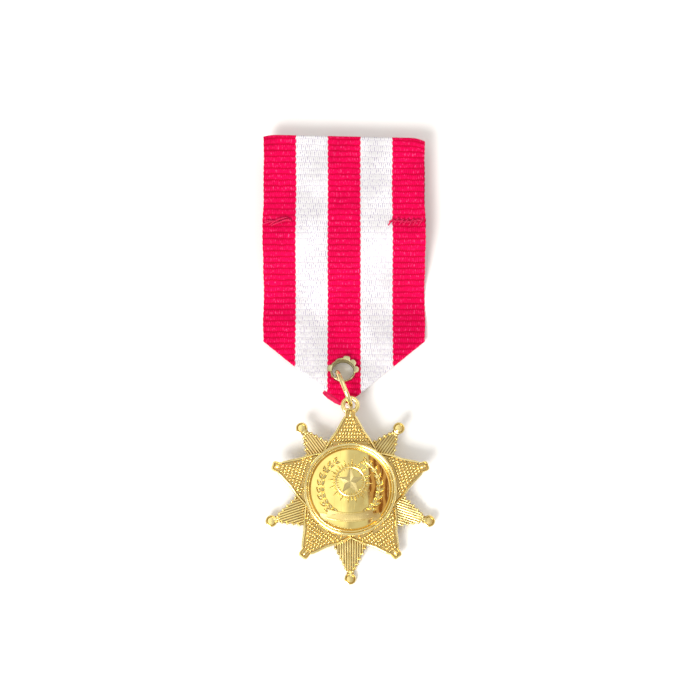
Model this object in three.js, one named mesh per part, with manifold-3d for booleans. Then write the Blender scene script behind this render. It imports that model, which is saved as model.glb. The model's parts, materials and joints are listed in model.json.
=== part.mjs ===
// Military service medal: a two-layer star that hangs by a soldered loop and a jump ring from a
// striped ribbon, which is folded to a point below and over a brooch pin above.
// Millimetres, +Z out of the medal's front, +Y towards the ribbon's top fold.
import * as THREE from 'three';
import { mergeVertices } from 'three/addons/utils/BufferGeometryUtils.js';
import Module from 'manifold-3d';

// ---------- Driving dimensions ----------
const GAP = 0.3;                       // clearance kept between pieces that touch

const RIBBON_WIDTH = 35;
const SHEET = 0.36;                    // thickness of the woven ribbon
const RIBBON_X = -0.67;                // centre line of the ribbon
const TOP_Y = 48.2;                    // outside of the top fold
const FRONT_Z = 5.6;                   // middle of the front sheet over the pin
const FLAP_Z = 4.42;                   // middle of the flap folded behind it
const FLAP_END_Y = 27.6;
const FLEX_Y = 26.75;                  // line where the sewn sleeve ends and the drop bends
const FLEX_GAP = 0.6;
const CONTACT_Y = 12;                  // where the drop touches the surface it lies on
const TIP_SLOPE = THREE.MathUtils.degToRad(10);
const TIP_BEND_RADIUS = 20;
const SHOULDER_Y = 4.1;                // where the corners are folded back
const APEX_Y = -10.65;

const EYELET = { x: -0.91, y: -3.28, bore: 2.3, wall: 0.2, flange: 3.8, backGap: 0.25, backRim: 0.2 };
const RING = { long: 3.95, short: 3.3, wire: 0.5, centreZ: 3.88, lean: THREE.MathUtils.degToRad(22) };
const RING_IN_EYELET = { x: -1.1, y: -0.75 };   // where the ring's wire crosses the eyelet's bore

const STAR_X = 0.66;
const STAR_Y = -28.8;
const STAR_TILT = THREE.MathUtils.degToRad(6.6);
const RAYS = 5;
const REAR = { thickness: 0.9, centreY: -1.0, reach: 17.45, ball: 1.15, rod: 0.3, rodPitch: 0.78 };
const FRONT = { back: 1.5, thickness: 0.8, border: 0.6, rise: 0.3, reach: 17.2 };
const BOSS = { radius: 5.5, depth: 0.5 };       // flat face on the star's reverse
const LOOP = { y: 17.97, outer: 2.0, bore: 1.08, back: 0.2, thickness: 1.0 };
const BEZEL = { outer: 9.8, inner: 9.1, back: 2.6, height: 1.4, centreY: 0.28 };
const DISC = { radius: 8.8, thickness: 0.8 };
const RIVET = { x: 6.9, shank: 0.5, head: 1.2, headDepth: 0.4 };

const PIN_Y = 40;                      // line of the brooch pin across the flap
const PIN_Z = 1.65;                    // axis of the needle
const PLATE = { length: 26, width: 4.6, back: 3.5, thickness: 0.45, holeX: 11.2, hole: 0.75 };
const HINGE_X = -9;                    // along the plate, from its middle
const EAR = { inner: 0.85, thickness: 0.45, radius: 1.25 };
const NEEDLE = { radius: 0.3, eye: 1.15, eyeHole: 0.65, eyeHalfWidth: 0.55, tipX: 10.6, point: 2.4 };
const CATCH = { x: 6.6, length: 2.4, outer: 1.6, inner: 1.25, slot: 1.2 };
const LOCK = { outer: 0.95, inner: 0.62, collar: 1.5, collarLength: 0.7, slot: 1.1 };
const THREAD = 0.35;                   // thickness of a sewn strand bundle
const TACK_Y = 28.85;
const TACKS = { tack_left: [-17.6, -12.2], tack_right: [9.2, 16.2] };

// ---------- Finishes ----------
const finish = (color, roughness, metalness) =>
  new THREE.MeshStandardMaterial({ color, roughness, metalness });
const ribbonCloth = finish(0xd8003c, 0.85, 0);
const redThread = finish(0xb80f38, 0.8, 0);
const gold = finish(0xe0b64e, 0.25, 1);
const mirrorGold = finish(0xf2cf5c, 0.08, 1);
const paleBrass = finish(0xb3a368, 0.4, 1);
const nickel = finish(0xb9bcc0, 0.3, 1);

// ---------- Booleans ----------
const wasm = await Module();
wasm.setup();

/** A closed geometry as a manifold solid. */
function solid(geometry) {
  const bare = geometry.index ? geometry.toNonIndexed() : geometry.clone();
  bare.deleteAttribute('normal');
  bare.deleteAttribute('uv');
  const welded = mergeVertices(bare, 1e-5);
  const vertProperties = new Float32Array(welded.attributes.position.array);
  const triVerts = new Uint32Array(welded.index.array);
  return new wasm.Manifold(new wasm.Mesh({ numProp: 3, vertProperties, triVerts }));
}

/** A manifold solid as a flat-shaded geometry. */
function geometryOf(body) {
  const mesh = body.getMesh();
  const geometry = new THREE.BufferGeometry();
  geometry.setAttribute('position', new THREE.BufferAttribute(mesh.vertProperties, 3));
  geometry.setIndex(new THREE.BufferAttribute(mesh.triVerts, 1));
  geometry.computeVertexNormals();
  return geometry;
}

/** The first geometry with the others joined to it. */
const joined = (first, ...others) => others.reduce((body, g) => body.add(solid(g)), solid(first));

/** A solid with each geometry cut away. */
const cut = (body, ...tools) => tools.reduce((rest, g) => rest.subtract(solid(g)), body);

function node(name, geometry, material) {
  const mesh = new THREE.Mesh(geometry, material);
  mesh.name = name;
  return mesh;
}

// ---------- Simple solids ----------
/** A box given by its lowest and highest corners. */
function block(x0, y0, z0, x1, y1, z1) {
  const box = new THREE.BoxGeometry(x1 - x0, y1 - y0, z1 - z0);
  return box.translate((x0 + x1) / 2, (y0 + y1) / 2, (z0 + z1) / 2);
}

/** A cylinder along Z. */
function post(x, y, z0, z1, radius, sides = 20) {
  const cylinder = new THREE.CylinderGeometry(radius, radius, z1 - z0, sides);
  return cylinder.rotateX(Math.PI / 2).translate(x, y, (z0 + z1) / 2);
}

/** A lathe about Z from [radius, height] pairs. */
function turned(profile, sides = 40) {
  const points = profile.map(([r, h]) => new THREE.Vector2(r, h));
  return new THREE.LatheGeometry(points, sides).rotateX(Math.PI / 2);
}

/** A plan outline raised from z0 by a height. */
function raised(shape, z0, height, curveSegments = 8) {
  const settings = { depth: height, bevelEnabled: false, curveSegments };
  return new THREE.ExtrudeGeometry(shape, settings).translate(0, 0, z0);
}

/** A plan outline from [x, y] pairs. */
const outline = (points) => new THREE.Shape(points.map(([x, y]) => new THREE.Vector2(x, y)));

/** A C-shaped tube along X, open towards -Z, starting at x = 0. */
function slottedTube(outer, inner, slot, length) {
  const edge = Math.asin(slot / 2 / outer);
  const bite = Math.asin(slot / 2 / inner);
  const section = new THREE.Shape();
  section.absarc(0, 0, outer, -Math.PI / 2 + edge, 1.5 * Math.PI - edge, false);
  section.absarc(0, 0, inner, 1.5 * Math.PI - bite, -Math.PI / 2 + bite, true);
  return raised(section, 0, length, 9).applyMatrix4(ACROSS);
}

// Turns a section drawn in (y, z) into one that is extruded along X.
const ACROSS = new THREE.Matrix4().makeBasis(
  new THREE.Vector3(0, 1, 0),
  new THREE.Vector3(0, 0, 1),
  new THREE.Vector3(1, 0, 0),
);

// ---------- Ribbon ----------
/** A sheet across the ribbon's width, between two offsets from a centre line in (y, z). */
function sheetAlong(centreLine, low, high) {
  const side = (offset) => centreLine.map((p, i) => {
    const before = centreLine[Math.max(i - 1, 0)];
    const after = centreLine[Math.min(i + 1, centreLine.length - 1)];
    const along = after.clone().sub(before).normalize();
    return new THREE.Vector2(p.x + along.y * offset, p.y - along.x * offset);
  });
  const section = new THREE.Shape([...side(high), ...side(low).reverse()]);
  const sheet = raised(section, 0, RIBBON_WIDTH).applyMatrix4(ACROSS);
  return sheet.translate(RIBBON_X - RIBBON_WIDTH / 2, 0, 0);
}

/** Centre line of the drop, from the flex line to past the point. */
function dropLine() {
  const start = new THREE.Vector2(FLEX_Y - FLEX_GAP / 2, FRONT_Z);
  const rest = new THREE.Vector2(CONTACT_Y, SHEET / 2 + 0.02);
  const fall = new THREE.CubicBezierCurve(
    start,
    new THREE.Vector2(start.x - 5, start.y - 0.5),
    new THREE.Vector2(rest.x + 5.5, rest.y),
    rest,
  );
  const bend = [];
  for (let i = 1; i <= 4; i += 1) {
    const angle = (TIP_SLOPE * i) / 4;
    const back = TIP_BEND_RADIUS * Math.sin(angle);
    bend.push(new THREE.Vector2(rest.x - back, rest.y + TIP_BEND_RADIUS * (1 - Math.cos(angle))));
  }
  const last = bend[bend.length - 1];
  const run = last.x - APEX_Y + 2;
  const end = new THREE.Vector2(last.x - run, last.y + run * Math.tan(TIP_SLOPE));
  return [...fall.getPoints(14), ...bend, end];
}

/** Height of the drop's front sheet on its straight, rising end. */
function tipHeight(y) {
  const line = dropLine();
  const [from, to] = line.slice(-2);
  return from.y + ((from.x - y) * (to.y - from.y)) / (from.x - to.x);
}

/** Plan of the drop: straight sides, then two folded edges that meet in a blunt point. */
function pointedPlan() {
  const half = RIBBON_WIDTH / 2;
  const blunt = 1.0;
  const slope = (SHOULDER_Y - APEX_Y) / half;
  const plan = new THREE.Shape();
  plan.moveTo(RIBBON_X - half - 1, FLEX_Y + 1);
  plan.lineTo(RIBBON_X - half - 1, SHOULDER_Y + slope);
  plan.lineTo(RIBBON_X - blunt, APEX_Y + blunt * slope);
  plan.quadraticCurveTo(RIBBON_X, APEX_Y, RIBBON_X + blunt, APEX_Y + blunt * slope);
  plan.lineTo(RIBBON_X + half + 1, SHOULDER_Y + slope);
  plan.lineTo(RIBBON_X + half + 1, FLEX_Y + 1);
  return raised(plan, -2, 12, 4);
}

/** Plan of one corner, folded back about the line from shoulder to apex. */
function foldedCorner(side) {
  const shoulder = new THREE.Vector2((side * RIBBON_WIDTH) / 2, SHOULDER_Y);
  const apex = new THREE.Vector2(0, APEX_Y);
  const corner = new THREE.Vector2(shoulder.x, APEX_Y);
  const fold = shoulder.clone().sub(apex).normalize();
  const foot = apex.clone().addScaledVector(fold, corner.clone().sub(apex).dot(fold));
  const flipped = foot.multiplyScalar(2).sub(corner);
  const plan = [apex, shoulder, flipped].map((p) => [p.x + RIBBON_X, p.y]);
  return raised(outline(side > 0 ? plan : plan.reverse()), -2, 12);
}

// Frame of the drop's rising end: x across, y up the ribbon, z out of its front, at the eyelet.
const tipFrame = new THREE.Matrix4()
  .makeRotationX(-TIP_SLOPE)
  .setPosition(EYELET.x, EYELET.y, tipHeight(EYELET.y));

function ribbonDrop() {
  const line = dropLine();
  const plan = solid(pointedPlan());
  const front = solid(sheetAlong(line, -SHEET / 2, SHEET / 2));
  const behind = solid(sheetAlong(line, -SHEET * 1.5, -SHEET * 0.4));
  const corners = joined(foldedCorner(-1), foldedCorner(1));
  const hole = post(0, 0, -2, 2, EYELET.bore + EYELET.wall + GAP, 28).applyMatrix4(tipFrame);
  const folded = front.intersect(plan).add(behind.intersect(plan).intersect(corners));
  return node('ribbon_drop', geometryOf(cut(folded, hole)), ribbonCloth);
}

function ribbonSleeve() {
  const turn = (FRONT_Z - FLAP_Z) / 2;
  const foldY = TOP_Y - turn - SHEET / 2;
  const line = [new THREE.Vector2(FLEX_Y + FLEX_GAP / 2, FRONT_Z)];
  for (let i = 0; i <= 8; i += 1) {
    const angle = Math.PI / 2 - (Math.PI * i) / 8;
    line.push(new THREE.Vector2(foldY + turn * Math.cos(angle), FLAP_Z + turn + turn * Math.sin(angle)));
  }
  line.push(new THREE.Vector2(FLAP_END_Y, FLAP_Z));
  const holes = [];
  const half = THREAD / 2 + GAP;
  for (const ends of Object.values(TACKS)) {
    for (const x of ends) {
      holes.push(block(x - half, TACK_Y - half, FLAP_Z - 1, x + half, TACK_Y + half, FRONT_Z + 1));
    }
  }
  for (const x of threadLegs().flat()) {
    holes.push(block(x - half, PIN_Y - half, FLAP_Z - 1, x + half, PIN_Y + half, FLAP_Z + 0.5));
  }
  const sleeve = solid(sheetAlong(line, -SHEET / 2, SHEET / 2));
  return node('ribbon_sleeve', geometryOf(cut(sleeve, ...holes)), ribbonCloth);
}

// ---------- Sewing ----------
/** A closed loop of thread in the XZ plane, with legs at x0 and x1 and bars at z0 and z1. */
function stitch(x0, x1, y, z0, z1) {
  const t = THREAD / 2;
  const whole = solid(block(x0 - t, y - t, z0 - t, x1 + t, y + t, z1 + t));
  return geometryOf(cut(whole, block(x0 + t, y - 1, z0 + t, x1 - t, y + 1, z1 - t)));
}

function tack(name, [x0, x1]) {
  const reach = SHEET / 2 + GAP + THREAD / 2;
  return node(name, stitch(x0, x1, TACK_Y, FLAP_Z - reach, FRONT_Z + reach), redThread);
}

/** The legs of each plate lashing: one through the plate's hole, one past its end. */
function threadLegs() {
  return [-1, 1].map((side) => {
    const inner = RIBBON_X + side * PLATE.holeX;
    const outer = RIBBON_X + side * (PLATE.length / 2 + GAP + THREAD);
    return [Math.min(inner, outer), Math.max(inner, outer)];
  });
}

function plateThreads() {
  const low = PLATE.back - GAP - THREAD / 2;
  const high = FLAP_Z + SHEET / 2 + 0.25 + THREAD / 2;
  const names = ['plate_thread_left', 'plate_thread_right'];
  return threadLegs().map(([x0, x1], i) => node(names[i], stitch(x0, x1, PIN_Y, low, high), redThread));
}

// ---------- Brooch pin ----------
const pinAt = (geometry, x = 0) => geometry.translate(RIBBON_X + x, PIN_Y, PIN_Z);

/** A cylinder along Y about the hinge's axis. */
function hingeBar(radius, y0, y1) {
  const bar = new THREE.CylinderGeometry(radius, radius, y1 - y0, 20);
  return pinAt(bar.translate(0, (y0 + y1) / 2, 0), HINGE_X);
}

function pinPlate() {
  const top = PLATE.back + PLATE.thickness - PIN_Z;
  const back = PLATE.back - PIN_Z;
  const strip = new THREE.Shape();
  const straight = PLATE.length / 2 - PLATE.width / 2;
  strip.absarc(straight, 0, PLATE.width / 2, -Math.PI / 2, Math.PI / 2, false);
  strip.absarc(-straight, 0, PLATE.width / 2, Math.PI / 2, 1.5 * Math.PI, false);
  let plate = solid(pinAt(raised(strip, back, PLATE.thickness, 6)));
  for (const side of [-1, 1]) {
    const y0 = side > 0 ? EAR.inner : -EAR.inner - EAR.thickness;
    const y1 = y0 + EAR.thickness;
    const web = pinAt(block(-EAR.radius, y0, 0, EAR.radius, y1, top - 0.1), HINGE_X);
    plate = plate.add(solid(web)).add(solid(hingeBar(EAR.radius, y0, y1)));
    plate = cut(plate, pinAt(post(0, 0, back - 1, top + 1, PLATE.hole), side * PLATE.holeX));
  }
  plate = cut(plate, hingeBar(NEEDLE.eyeHole, -2, 2));
  return node('pin_plate', geometryOf(plate), nickel);
}

function hingeRivet() {
  const reach = EAR.inner + EAR.thickness + GAP;
  const shank = NEEDLE.eyeHole - GAP;
  const heads = [-1, 1].map((side) => {
    const from = side > 0 ? reach : -reach - 0.3;
    return hingeBar(0.85, from, from + 0.3);
  });
  return node('hinge_rivet', geometryOf(joined(hingeBar(shank, -reach - 0.1, reach + 0.1), ...heads)), nickel);
}

function pinNeedle() {
  const length = NEEDLE.tipX - HINGE_X - NEEDLE.point;
  const shaft = new THREE.CylinderGeometry(NEEDLE.radius, NEEDLE.radius, length, 12);
  const point = new THREE.CylinderGeometry(0.05, NEEDLE.radius, NEEDLE.point, 12);
  shaft.rotateZ(-Math.PI / 2).translate(HINGE_X + length / 2, 0, 0);
  point.rotateZ(-Math.PI / 2).translate(NEEDLE.tipX - NEEDLE.point / 2, 0, 0);
  const eye = hingeBar(NEEDLE.eye, -NEEDLE.eyeHalfWidth, NEEDLE.eyeHalfWidth);
  const body = cut(joined(eye, pinAt(shaft), pinAt(point)), hingeBar(NEEDLE.eyeHole, -1, 1));
  return node('pin_needle', geometryOf(body), nickel);
}

function catchBody() {
  const tube = slottedTube(CATCH.outer, CATCH.inner, CATCH.slot, CATCH.length);
  const footTop = PLATE.back - GAP - PIN_Z;
  const foot = block(-0.5, -1.6, footTop - 0.35, CATCH.length + 0.2, 1.6, footTop);
  const body = joined(pinAt(tube, CATCH.x), pinAt(foot, CATCH.x));
  return node('catch_body', geometryOf(body), nickel);
}

function catchLock() {
  const sleeve = slottedTube(LOCK.outer, LOCK.inner, LOCK.slot, CATCH.length + GAP + 0.1);
  const collar = slottedTube(LOCK.collar, LOCK.inner, LOCK.slot, LOCK.collarLength);
  const collarX = CATCH.x + CATCH.length + GAP;
  return node('catch_lock', geometryOf(joined(pinAt(sleeve, CATCH.x), pinAt(collar, collarX))), nickel);
}

// ---------- Eyelet and jump ring ----------
function eyelet() {
  const outer = EYELET.bore + EYELET.wall;
  const back = -SHEET * 1.5 - EYELET.backGap;
  const rear = back - EYELET.backRim;
  const front = SHEET / 2 + GAP;
  const profile = [
    [EYELET.bore, rear], [EYELET.flange, rear], [EYELET.flange, back], [outer, back],
    [outer, front], [3.1, front], [3.15, front + 0.25], [2.75, front + 0.6], [2.42, front + 0.6],
    [EYELET.bore, front + 0.42], [EYELET.bore, rear],
  ];
  return node('eyelet', turned(profile, 36).applyMatrix4(tipFrame), paleBrass);
}

/** An upright oval, open by a hair at its joint, which lies at the bottom. */
class OvalWire extends THREE.Curve {
  getPoint(t, target = new THREE.Vector3()) {
    const start = THREE.MathUtils.degToRad(-88.5);
    const angle = start + t * (2 * Math.PI - THREE.MathUtils.degToRad(3));
    return target.set(0, RING.long * Math.cos(angle), RING.short * Math.sin(angle));
  }
}

function jumpRing() {
  const section = new THREE.Shape();
  section.absarc(0, 0, RING.wire, 0, 2 * Math.PI, false);
  const settings = { steps: 44, bevelEnabled: false, extrudePath: new OvalWire(), curveSegments: 4 };
  const ring = node('jump_ring', new THREE.ExtrudeGeometry(section, settings), gold);
  const crossing = new THREE.Vector3(RING_IN_EYELET.x, RING_IN_EYELET.y, -SHEET / 2);
  crossing.applyMatrix4(tipFrame);
  const drop = (RING.centreZ - crossing.z) / RING.short;
  const away = RING.long * Math.sqrt(1 - drop * drop);
  ring.rotation.z = RING.lean;
  ring.position.set(
    crossing.x + away * Math.sin(RING.lean),
    crossing.y - away * Math.cos(RING.lean),
    RING.centreZ,
  );
  return ring;
}

// ---------- Star ----------
const rayAngle = (i, first) => first + (i * 2 * Math.PI) / RAYS;

/** A star outline: each ray follows [distance, half-width] pairs out and back. */
function starPlan(first, valley, ray) {
  const points = [];
  for (let i = 0; i < RAYS; i += 1) {
    const angle = rayAngle(i, first);
    const mirrored = ray.map(([along, across]) => [along, -across]);
    for (const [along, across] of [...mirrored, ...ray.slice().reverse()]) {
      const x = along * Math.cos(angle) - across * Math.sin(angle);
      const y = along * Math.sin(angle) + across * Math.cos(angle);
      points.push([x, y]);
    }
    const between = angle + Math.PI / RAYS;
    points.push([valley * Math.cos(between), valley * Math.sin(between)]);
  }
  return outline(points);
}

const broadRay = (inset) => [
  [10.4 - inset * 0.4, 4.6 - inset * 1.1], [12.5 - inset * 0.6, 3.1 - inset * 1.1],
  [15.4 - inset, 1.63 - inset * 0.9], [15.7 - inset, 0.95 - inset * 0.3],
  [FRONT.reach - 0.6 - inset, 0.95 - inset * 0.3], [FRONT.reach - inset * 1.2, 0.45 - inset * 0.1],
];

const narrowRay = [[10.2, 3.5], [11.8, 2.6], [15.75, 1.1], [16.0, 0.7], [REAR.reach, 0.7]];

function rivetHoles() {
  return [-1, 1].map((side) => post(side * RIVET.x, REAR.centreY, -2, 4, RIVET.shank + GAP));
}

/** Rear star: narrow rays faced with parallel rods, each ending in a domed ball. */
function ribbedStar() {
  const first = Math.PI / 2 + Math.PI / RAYS;
  let star = solid(raised(starPlan(first, 7.4, narrowRay), 0, REAR.thickness));
  for (let i = 0; i < RAYS; i += 1) {
    const angle = rayAngle(i, first);
    const place = (g) => solid(g.rotateZ(angle));
    for (let k = -3; k <= 3; k += 1) {
      const across = k * REAR.rodPitch;
      const end = 15.6 - Math.max(Math.abs(k) - 1, 0) * 1.75;
      const rod = new THREE.CylinderGeometry(REAR.rod, REAR.rod, end - 9.5, 6);
      rod.rotateZ(Math.PI / 2).translate((end + 9.5) / 2, across, REAR.thickness - 0.02);
      star = star.add(place(rod));
    }
    const dome = turned([[0, 0], [REAR.ball, 0], [REAR.ball, 0.7], [0.8, 1.25], [0, 1.4]], 16);
    star = star.add(place(dome.translate(REAR.reach, 0, 0)));
  }
  star = star.translate([0, REAR.centreY, 0]);
  star = star.add(solid(post(0, REAR.centreY, -BOSS.depth, 0.1, BOSS.radius, 40)));
  return node('ribbed_star', geometryOf(cut(star, ...rivetHoles())), gold);
}

/** Front star: broad rays with a raised border round a sunken field, and a bead in each tip. */
function pebbledStar() {
  const first = Math.PI / 2;
  const top = FRONT.back + FRONT.thickness;
  const plate = solid(raised(starPlan(first, 9.9, broadRay(0)), FRONT.back, FRONT.thickness + FRONT.rise));
  const field = raised(starPlan(first, 9.2, broadRay(FRONT.border)), top, 2);
  const hub = post(0, 0, top, 6, BEZEL.outer + GAP + 0.2, 40);
  let star = cut(plate, field, hub);
  for (let i = 0; i < RAYS; i += 1) {
    const bead = new THREE.SphereGeometry(0.42, 10, 6).scale(1.6, 1, 0.9);
    star = star.add(solid(bead.translate(16.0, 0, top).rotateZ(rayAngle(i, first))));
  }
  return node('pebbled_star', geometryOf(cut(star, ...rivetHoles())), gold);
}

function suspensionLoop() {
  const { outer, bore, thickness, back } = LOOP;
  const soft = 0.25;
  const profile = [
    [bore, soft], [bore + soft, 0], [outer - soft, 0], [outer, soft], [outer, thickness - soft],
    [outer - soft, thickness], [bore + soft, thickness], [bore, thickness - soft], [bore, soft],
  ];
  return node('suspension_loop', turned(profile, 28).translate(0, LOOP.y, back), gold);
}

function bezelRing() {
  const { outer, inner, back, height, centreY } = BEZEL;
  const profile = [
    [inner, back], [outer, back], [outer, back + 0.75], [outer - 0.15, back + 1.2],
    [(outer + inner) / 2, back + height], [inner + 0.1, back + 1.2], [inner, back],
  ];
  return node('bezel_ring', turned(profile, 56).translate(0, centreY, 0), gold);
}

function centreDisc() {
  const profile = [[0, 0], [DISC.radius, 0], [DISC.radius, DISC.thickness - 0.1],
    [DISC.radius - 0.1, DISC.thickness], [0, DISC.thickness]];
  return node('centre_disc', turned(profile, 48).translate(0, BEZEL.centreY, BEZEL.back), mirrorGold);
}

function rivet(name, side) {
  const { shank, head, headDepth } = RIVET;
  const top = BEZEL.back;
  const profile = [[0, -headDepth], [head - 0.2, -headDepth], [head, -headDepth / 2], [head, 0],
    [shank, 0], [shank, top], [0, top]];
  return node(name, turned(profile, 20).translate(side * RIVET.x, REAR.centreY, -GAP), gold);
}

// ---------- Assembly ----------
const medal = new THREE.Group();

const brooch = new THREE.Group();
brooch.add(ribbonSleeve(), ...Object.entries(TACKS).map(([name, ends]) => tack(name, ends)));
brooch.add(...plateThreads(), pinPlate(), hingeRivet(), pinNeedle(), catchBody(), catchLock());

const star = new THREE.Group();
star.position.set(STAR_X, STAR_Y, (REAR.reach + REAR.ball - REAR.centreY) * Math.sin(STAR_TILT) + 0.02);
star.rotation.x = STAR_TILT;
star.add(suspensionLoop(), ribbedStar(), pebbledStar(), bezelRing(), centreDisc());
star.add(rivet('rivet_left', -1), rivet('rivet_right', 1));

medal.add(brooch, ribbonDrop(), eyelet(), jumpRing(), star);

export default medal;
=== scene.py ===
"""The looks of a military service medal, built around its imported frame.

A striped ribbon is folded over a brooch pin and to a point below, where an eyelet, a jump ring and a
soldered loop carry a star of two layers with a mirror-polished disc in a bright rim.
"""
import json
import logging
import math
from collections.abc import Callable, Iterable, Iterator, Sequence
from contextlib import contextmanager
from dataclasses import dataclass, field
from enum import Enum

import bpy
import numpy as np
from mathutils import Matrix, Vector, noise


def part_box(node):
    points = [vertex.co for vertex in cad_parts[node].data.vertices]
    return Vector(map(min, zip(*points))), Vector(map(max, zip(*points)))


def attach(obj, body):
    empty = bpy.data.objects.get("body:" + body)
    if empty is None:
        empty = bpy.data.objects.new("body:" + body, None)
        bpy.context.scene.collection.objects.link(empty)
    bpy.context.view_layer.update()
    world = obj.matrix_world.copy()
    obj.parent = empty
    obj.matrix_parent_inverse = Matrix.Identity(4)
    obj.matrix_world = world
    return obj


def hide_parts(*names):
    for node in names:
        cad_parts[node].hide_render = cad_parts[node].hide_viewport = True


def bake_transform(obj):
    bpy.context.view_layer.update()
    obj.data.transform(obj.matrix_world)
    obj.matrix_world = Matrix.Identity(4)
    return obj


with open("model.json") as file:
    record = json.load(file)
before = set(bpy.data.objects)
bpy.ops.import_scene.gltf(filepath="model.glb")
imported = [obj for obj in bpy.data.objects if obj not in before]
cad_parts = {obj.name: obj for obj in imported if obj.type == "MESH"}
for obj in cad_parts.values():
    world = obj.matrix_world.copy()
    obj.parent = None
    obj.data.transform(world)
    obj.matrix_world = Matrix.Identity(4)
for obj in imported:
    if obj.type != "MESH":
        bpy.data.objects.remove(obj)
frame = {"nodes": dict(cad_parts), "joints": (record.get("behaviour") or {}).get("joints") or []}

LOG = logging.getLogger("medal")
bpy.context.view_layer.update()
JOINTS = {joint["name"]: joint for joint in frame["joints"]}
MM = 0.001  # a millimetre, in metres
WELD = 1e-6  # points closer than this are one, in metres
FINE_WELD = 1e-7


# ---------------------------------------------------------------- bench work
def put_down_all() -> None:
    """Leave nothing selected, in object mode."""
    if bpy.context.object and bpy.context.object.mode != "OBJECT":
        bpy.ops.object.mode_set(mode="OBJECT")
    bpy.ops.object.select_all(action="DESELECT")


def pick_up(*objs: bpy.types.Object) -> bpy.types.Object:
    """Select some objects, the first one active.

    Args:
        objs: The objects to select.

    Returns:
        The active object.
    """
    put_down_all()
    for obj in objs:
        obj.select_set(True)
    bpy.context.view_layer.objects.active = objs[0]
    return objs[0]


@contextmanager
def editing(obj: bpy.types.Object, choose: str | None = "SELECT") -> Iterator[None]:
    """Hold a piece in edit mode for the operators in a with block.

    Args:
        obj: The piece.
        choose: What select_all does first, or None to keep the selection as it is.

    Yields:
        Nothing. The piece is back in object mode after the block.
    """
    pick_up(obj)
    bpy.ops.object.mode_set(mode="EDIT")
    if choose:
        bpy.ops.mesh.select_all(action=choose)
    yield
    bpy.ops.object.mode_set(mode="OBJECT")


def named(name: str) -> bpy.types.Object:
    """Name the active object and its mesh.

    Args:
        name: The name for both.

    Returns:
        The active object.
    """
    obj = bpy.context.object
    obj.name = name
    obj.data.name = name
    return obj


def joined(name: str, parts: Sequence[bpy.types.Object]) -> bpy.types.Object:
    """Join several objects into one piece.

    Args:
        name: The piece's name.
        parts: The objects to join.

    Returns:
        The joined object.
    """
    pick_up(*parts)
    if len(parts) > 1:
        bpy.ops.object.join()
    return named(name)


def smooth(obj: bpy.types.Object, degrees: float = 35.0) -> bpy.types.Object:
    """Shade a piece smooth, with edges over an angle kept sharp.

    Args:
        obj: The piece.
        degrees: The angle past which an edge stays sharp.

    Returns:
        The same piece.
    """
    pick_up(obj)
    bpy.ops.object.shade_smooth_by_angle(angle=math.radians(degrees))
    return obj


def apply_modifier(obj: bpy.types.Object, kind: str, **settings: object) -> bpy.types.Object:
    """Add a modifier, set it and apply it.

    Args:
        obj: The piece.
        kind: The modifier's type.
        settings: Its settings by name.

    Returns:
        The same piece.
    """
    pick_up(obj)
    modifier = obj.modifiers.new(kind.title(), kind)
    for key, value in settings.items():
        setattr(modifier, key, value)
    bpy.ops.object.modifier_apply(modifier=modifier.name)
    return obj


def tidy_shell(obj: bpy.types.Object, weld: float = FINE_WELD) -> bpy.types.Object:
    """Weld doubled points and turn all faces outwards.

    Args:
        obj: The piece.
        weld: The distance within which points are one, in metres.

    Returns:
        The same piece.
    """
    with editing(obj):
        bpy.ops.mesh.remove_doubles(threshold=weld)
        bpy.ops.mesh.dissolve_degenerate(threshold=weld)
        bpy.ops.mesh.delete_loose(use_verts=True, use_edges=True, use_faces=False)
        bpy.ops.mesh.select_all(action="SELECT")
        bpy.ops.mesh.normals_make_consistent(inside=False)
    return obj


def formed(name: str, rows: np.ndarray, closed: bool = True) -> bpy.types.Object:
    """A grid primitive whose points are laid on given rows, in millimetres.

    Args:
        name: The piece's name.
        rows: Points as an array of rows by columns by 3. A shell repeats its first column at the end.
        closed: Whether it is a shell to be welded and turned outwards.

    Returns:
        The new object.
    """
    count, across = rows.shape[:2]
    put_down_all()
    bpy.ops.mesh.primitive_grid_add(x_subdivisions=across - 1, y_subdivisions=count - 1, size=1)
    obj = named(name)
    obj.data.vertices.foreach_set("co", (rows.reshape(-1) * MM).astype(np.float32))
    obj.data.update()
    return tidy_shell(obj) if closed else obj


def turned(name: str, profile: Sequence[tuple[float, float]], steps: int = 64) -> bpy.types.Object:
    """A closed profile spun about Z.

    Args:
        name: The piece's name.
        profile: Radius and height pairs, in millimetres, closed on themselves or ending on the axis.
        steps: Divisions of the turn.

    Returns:
        The new object.
    """
    put_down_all()
    bpy.ops.mesh.primitive_circle_add(vertices=len(profile), radius=MM)
    shape = named(name)
    for vertex, (radius, height) in zip(shape.data.vertices, profile):
        vertex.co = Vector((radius, 0.0, height)) * MM
    with editing(shape):
        bpy.ops.mesh.spin(steps=steps, angle=2 * math.pi, center=(0, 0, 0), axis=(0, 0, 1))
    return tidy_shell(shape, WELD)


def ball(name: str, radius: float, segments: int, rings: int,
         stretch: tuple[float, float, float] = (1.0, 1.0, 1.0)) -> bpy.types.Object:
    """A ball, stretched along its axes.

    Args:
        name: The piece's name.
        radius: Its radius, in millimetres.
        segments: Divisions round it.
        rings: Divisions from pole to pole.
        stretch: Scale along each axis.

    Returns:
        The new object.
    """
    put_down_all()
    bpy.ops.mesh.primitive_uv_sphere_add(segments=segments, ring_count=rings, radius=radius * MM)
    made = named(name)
    made.data.transform(Matrix.Diagonal((*stretch, 1.0)))
    return made


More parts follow.
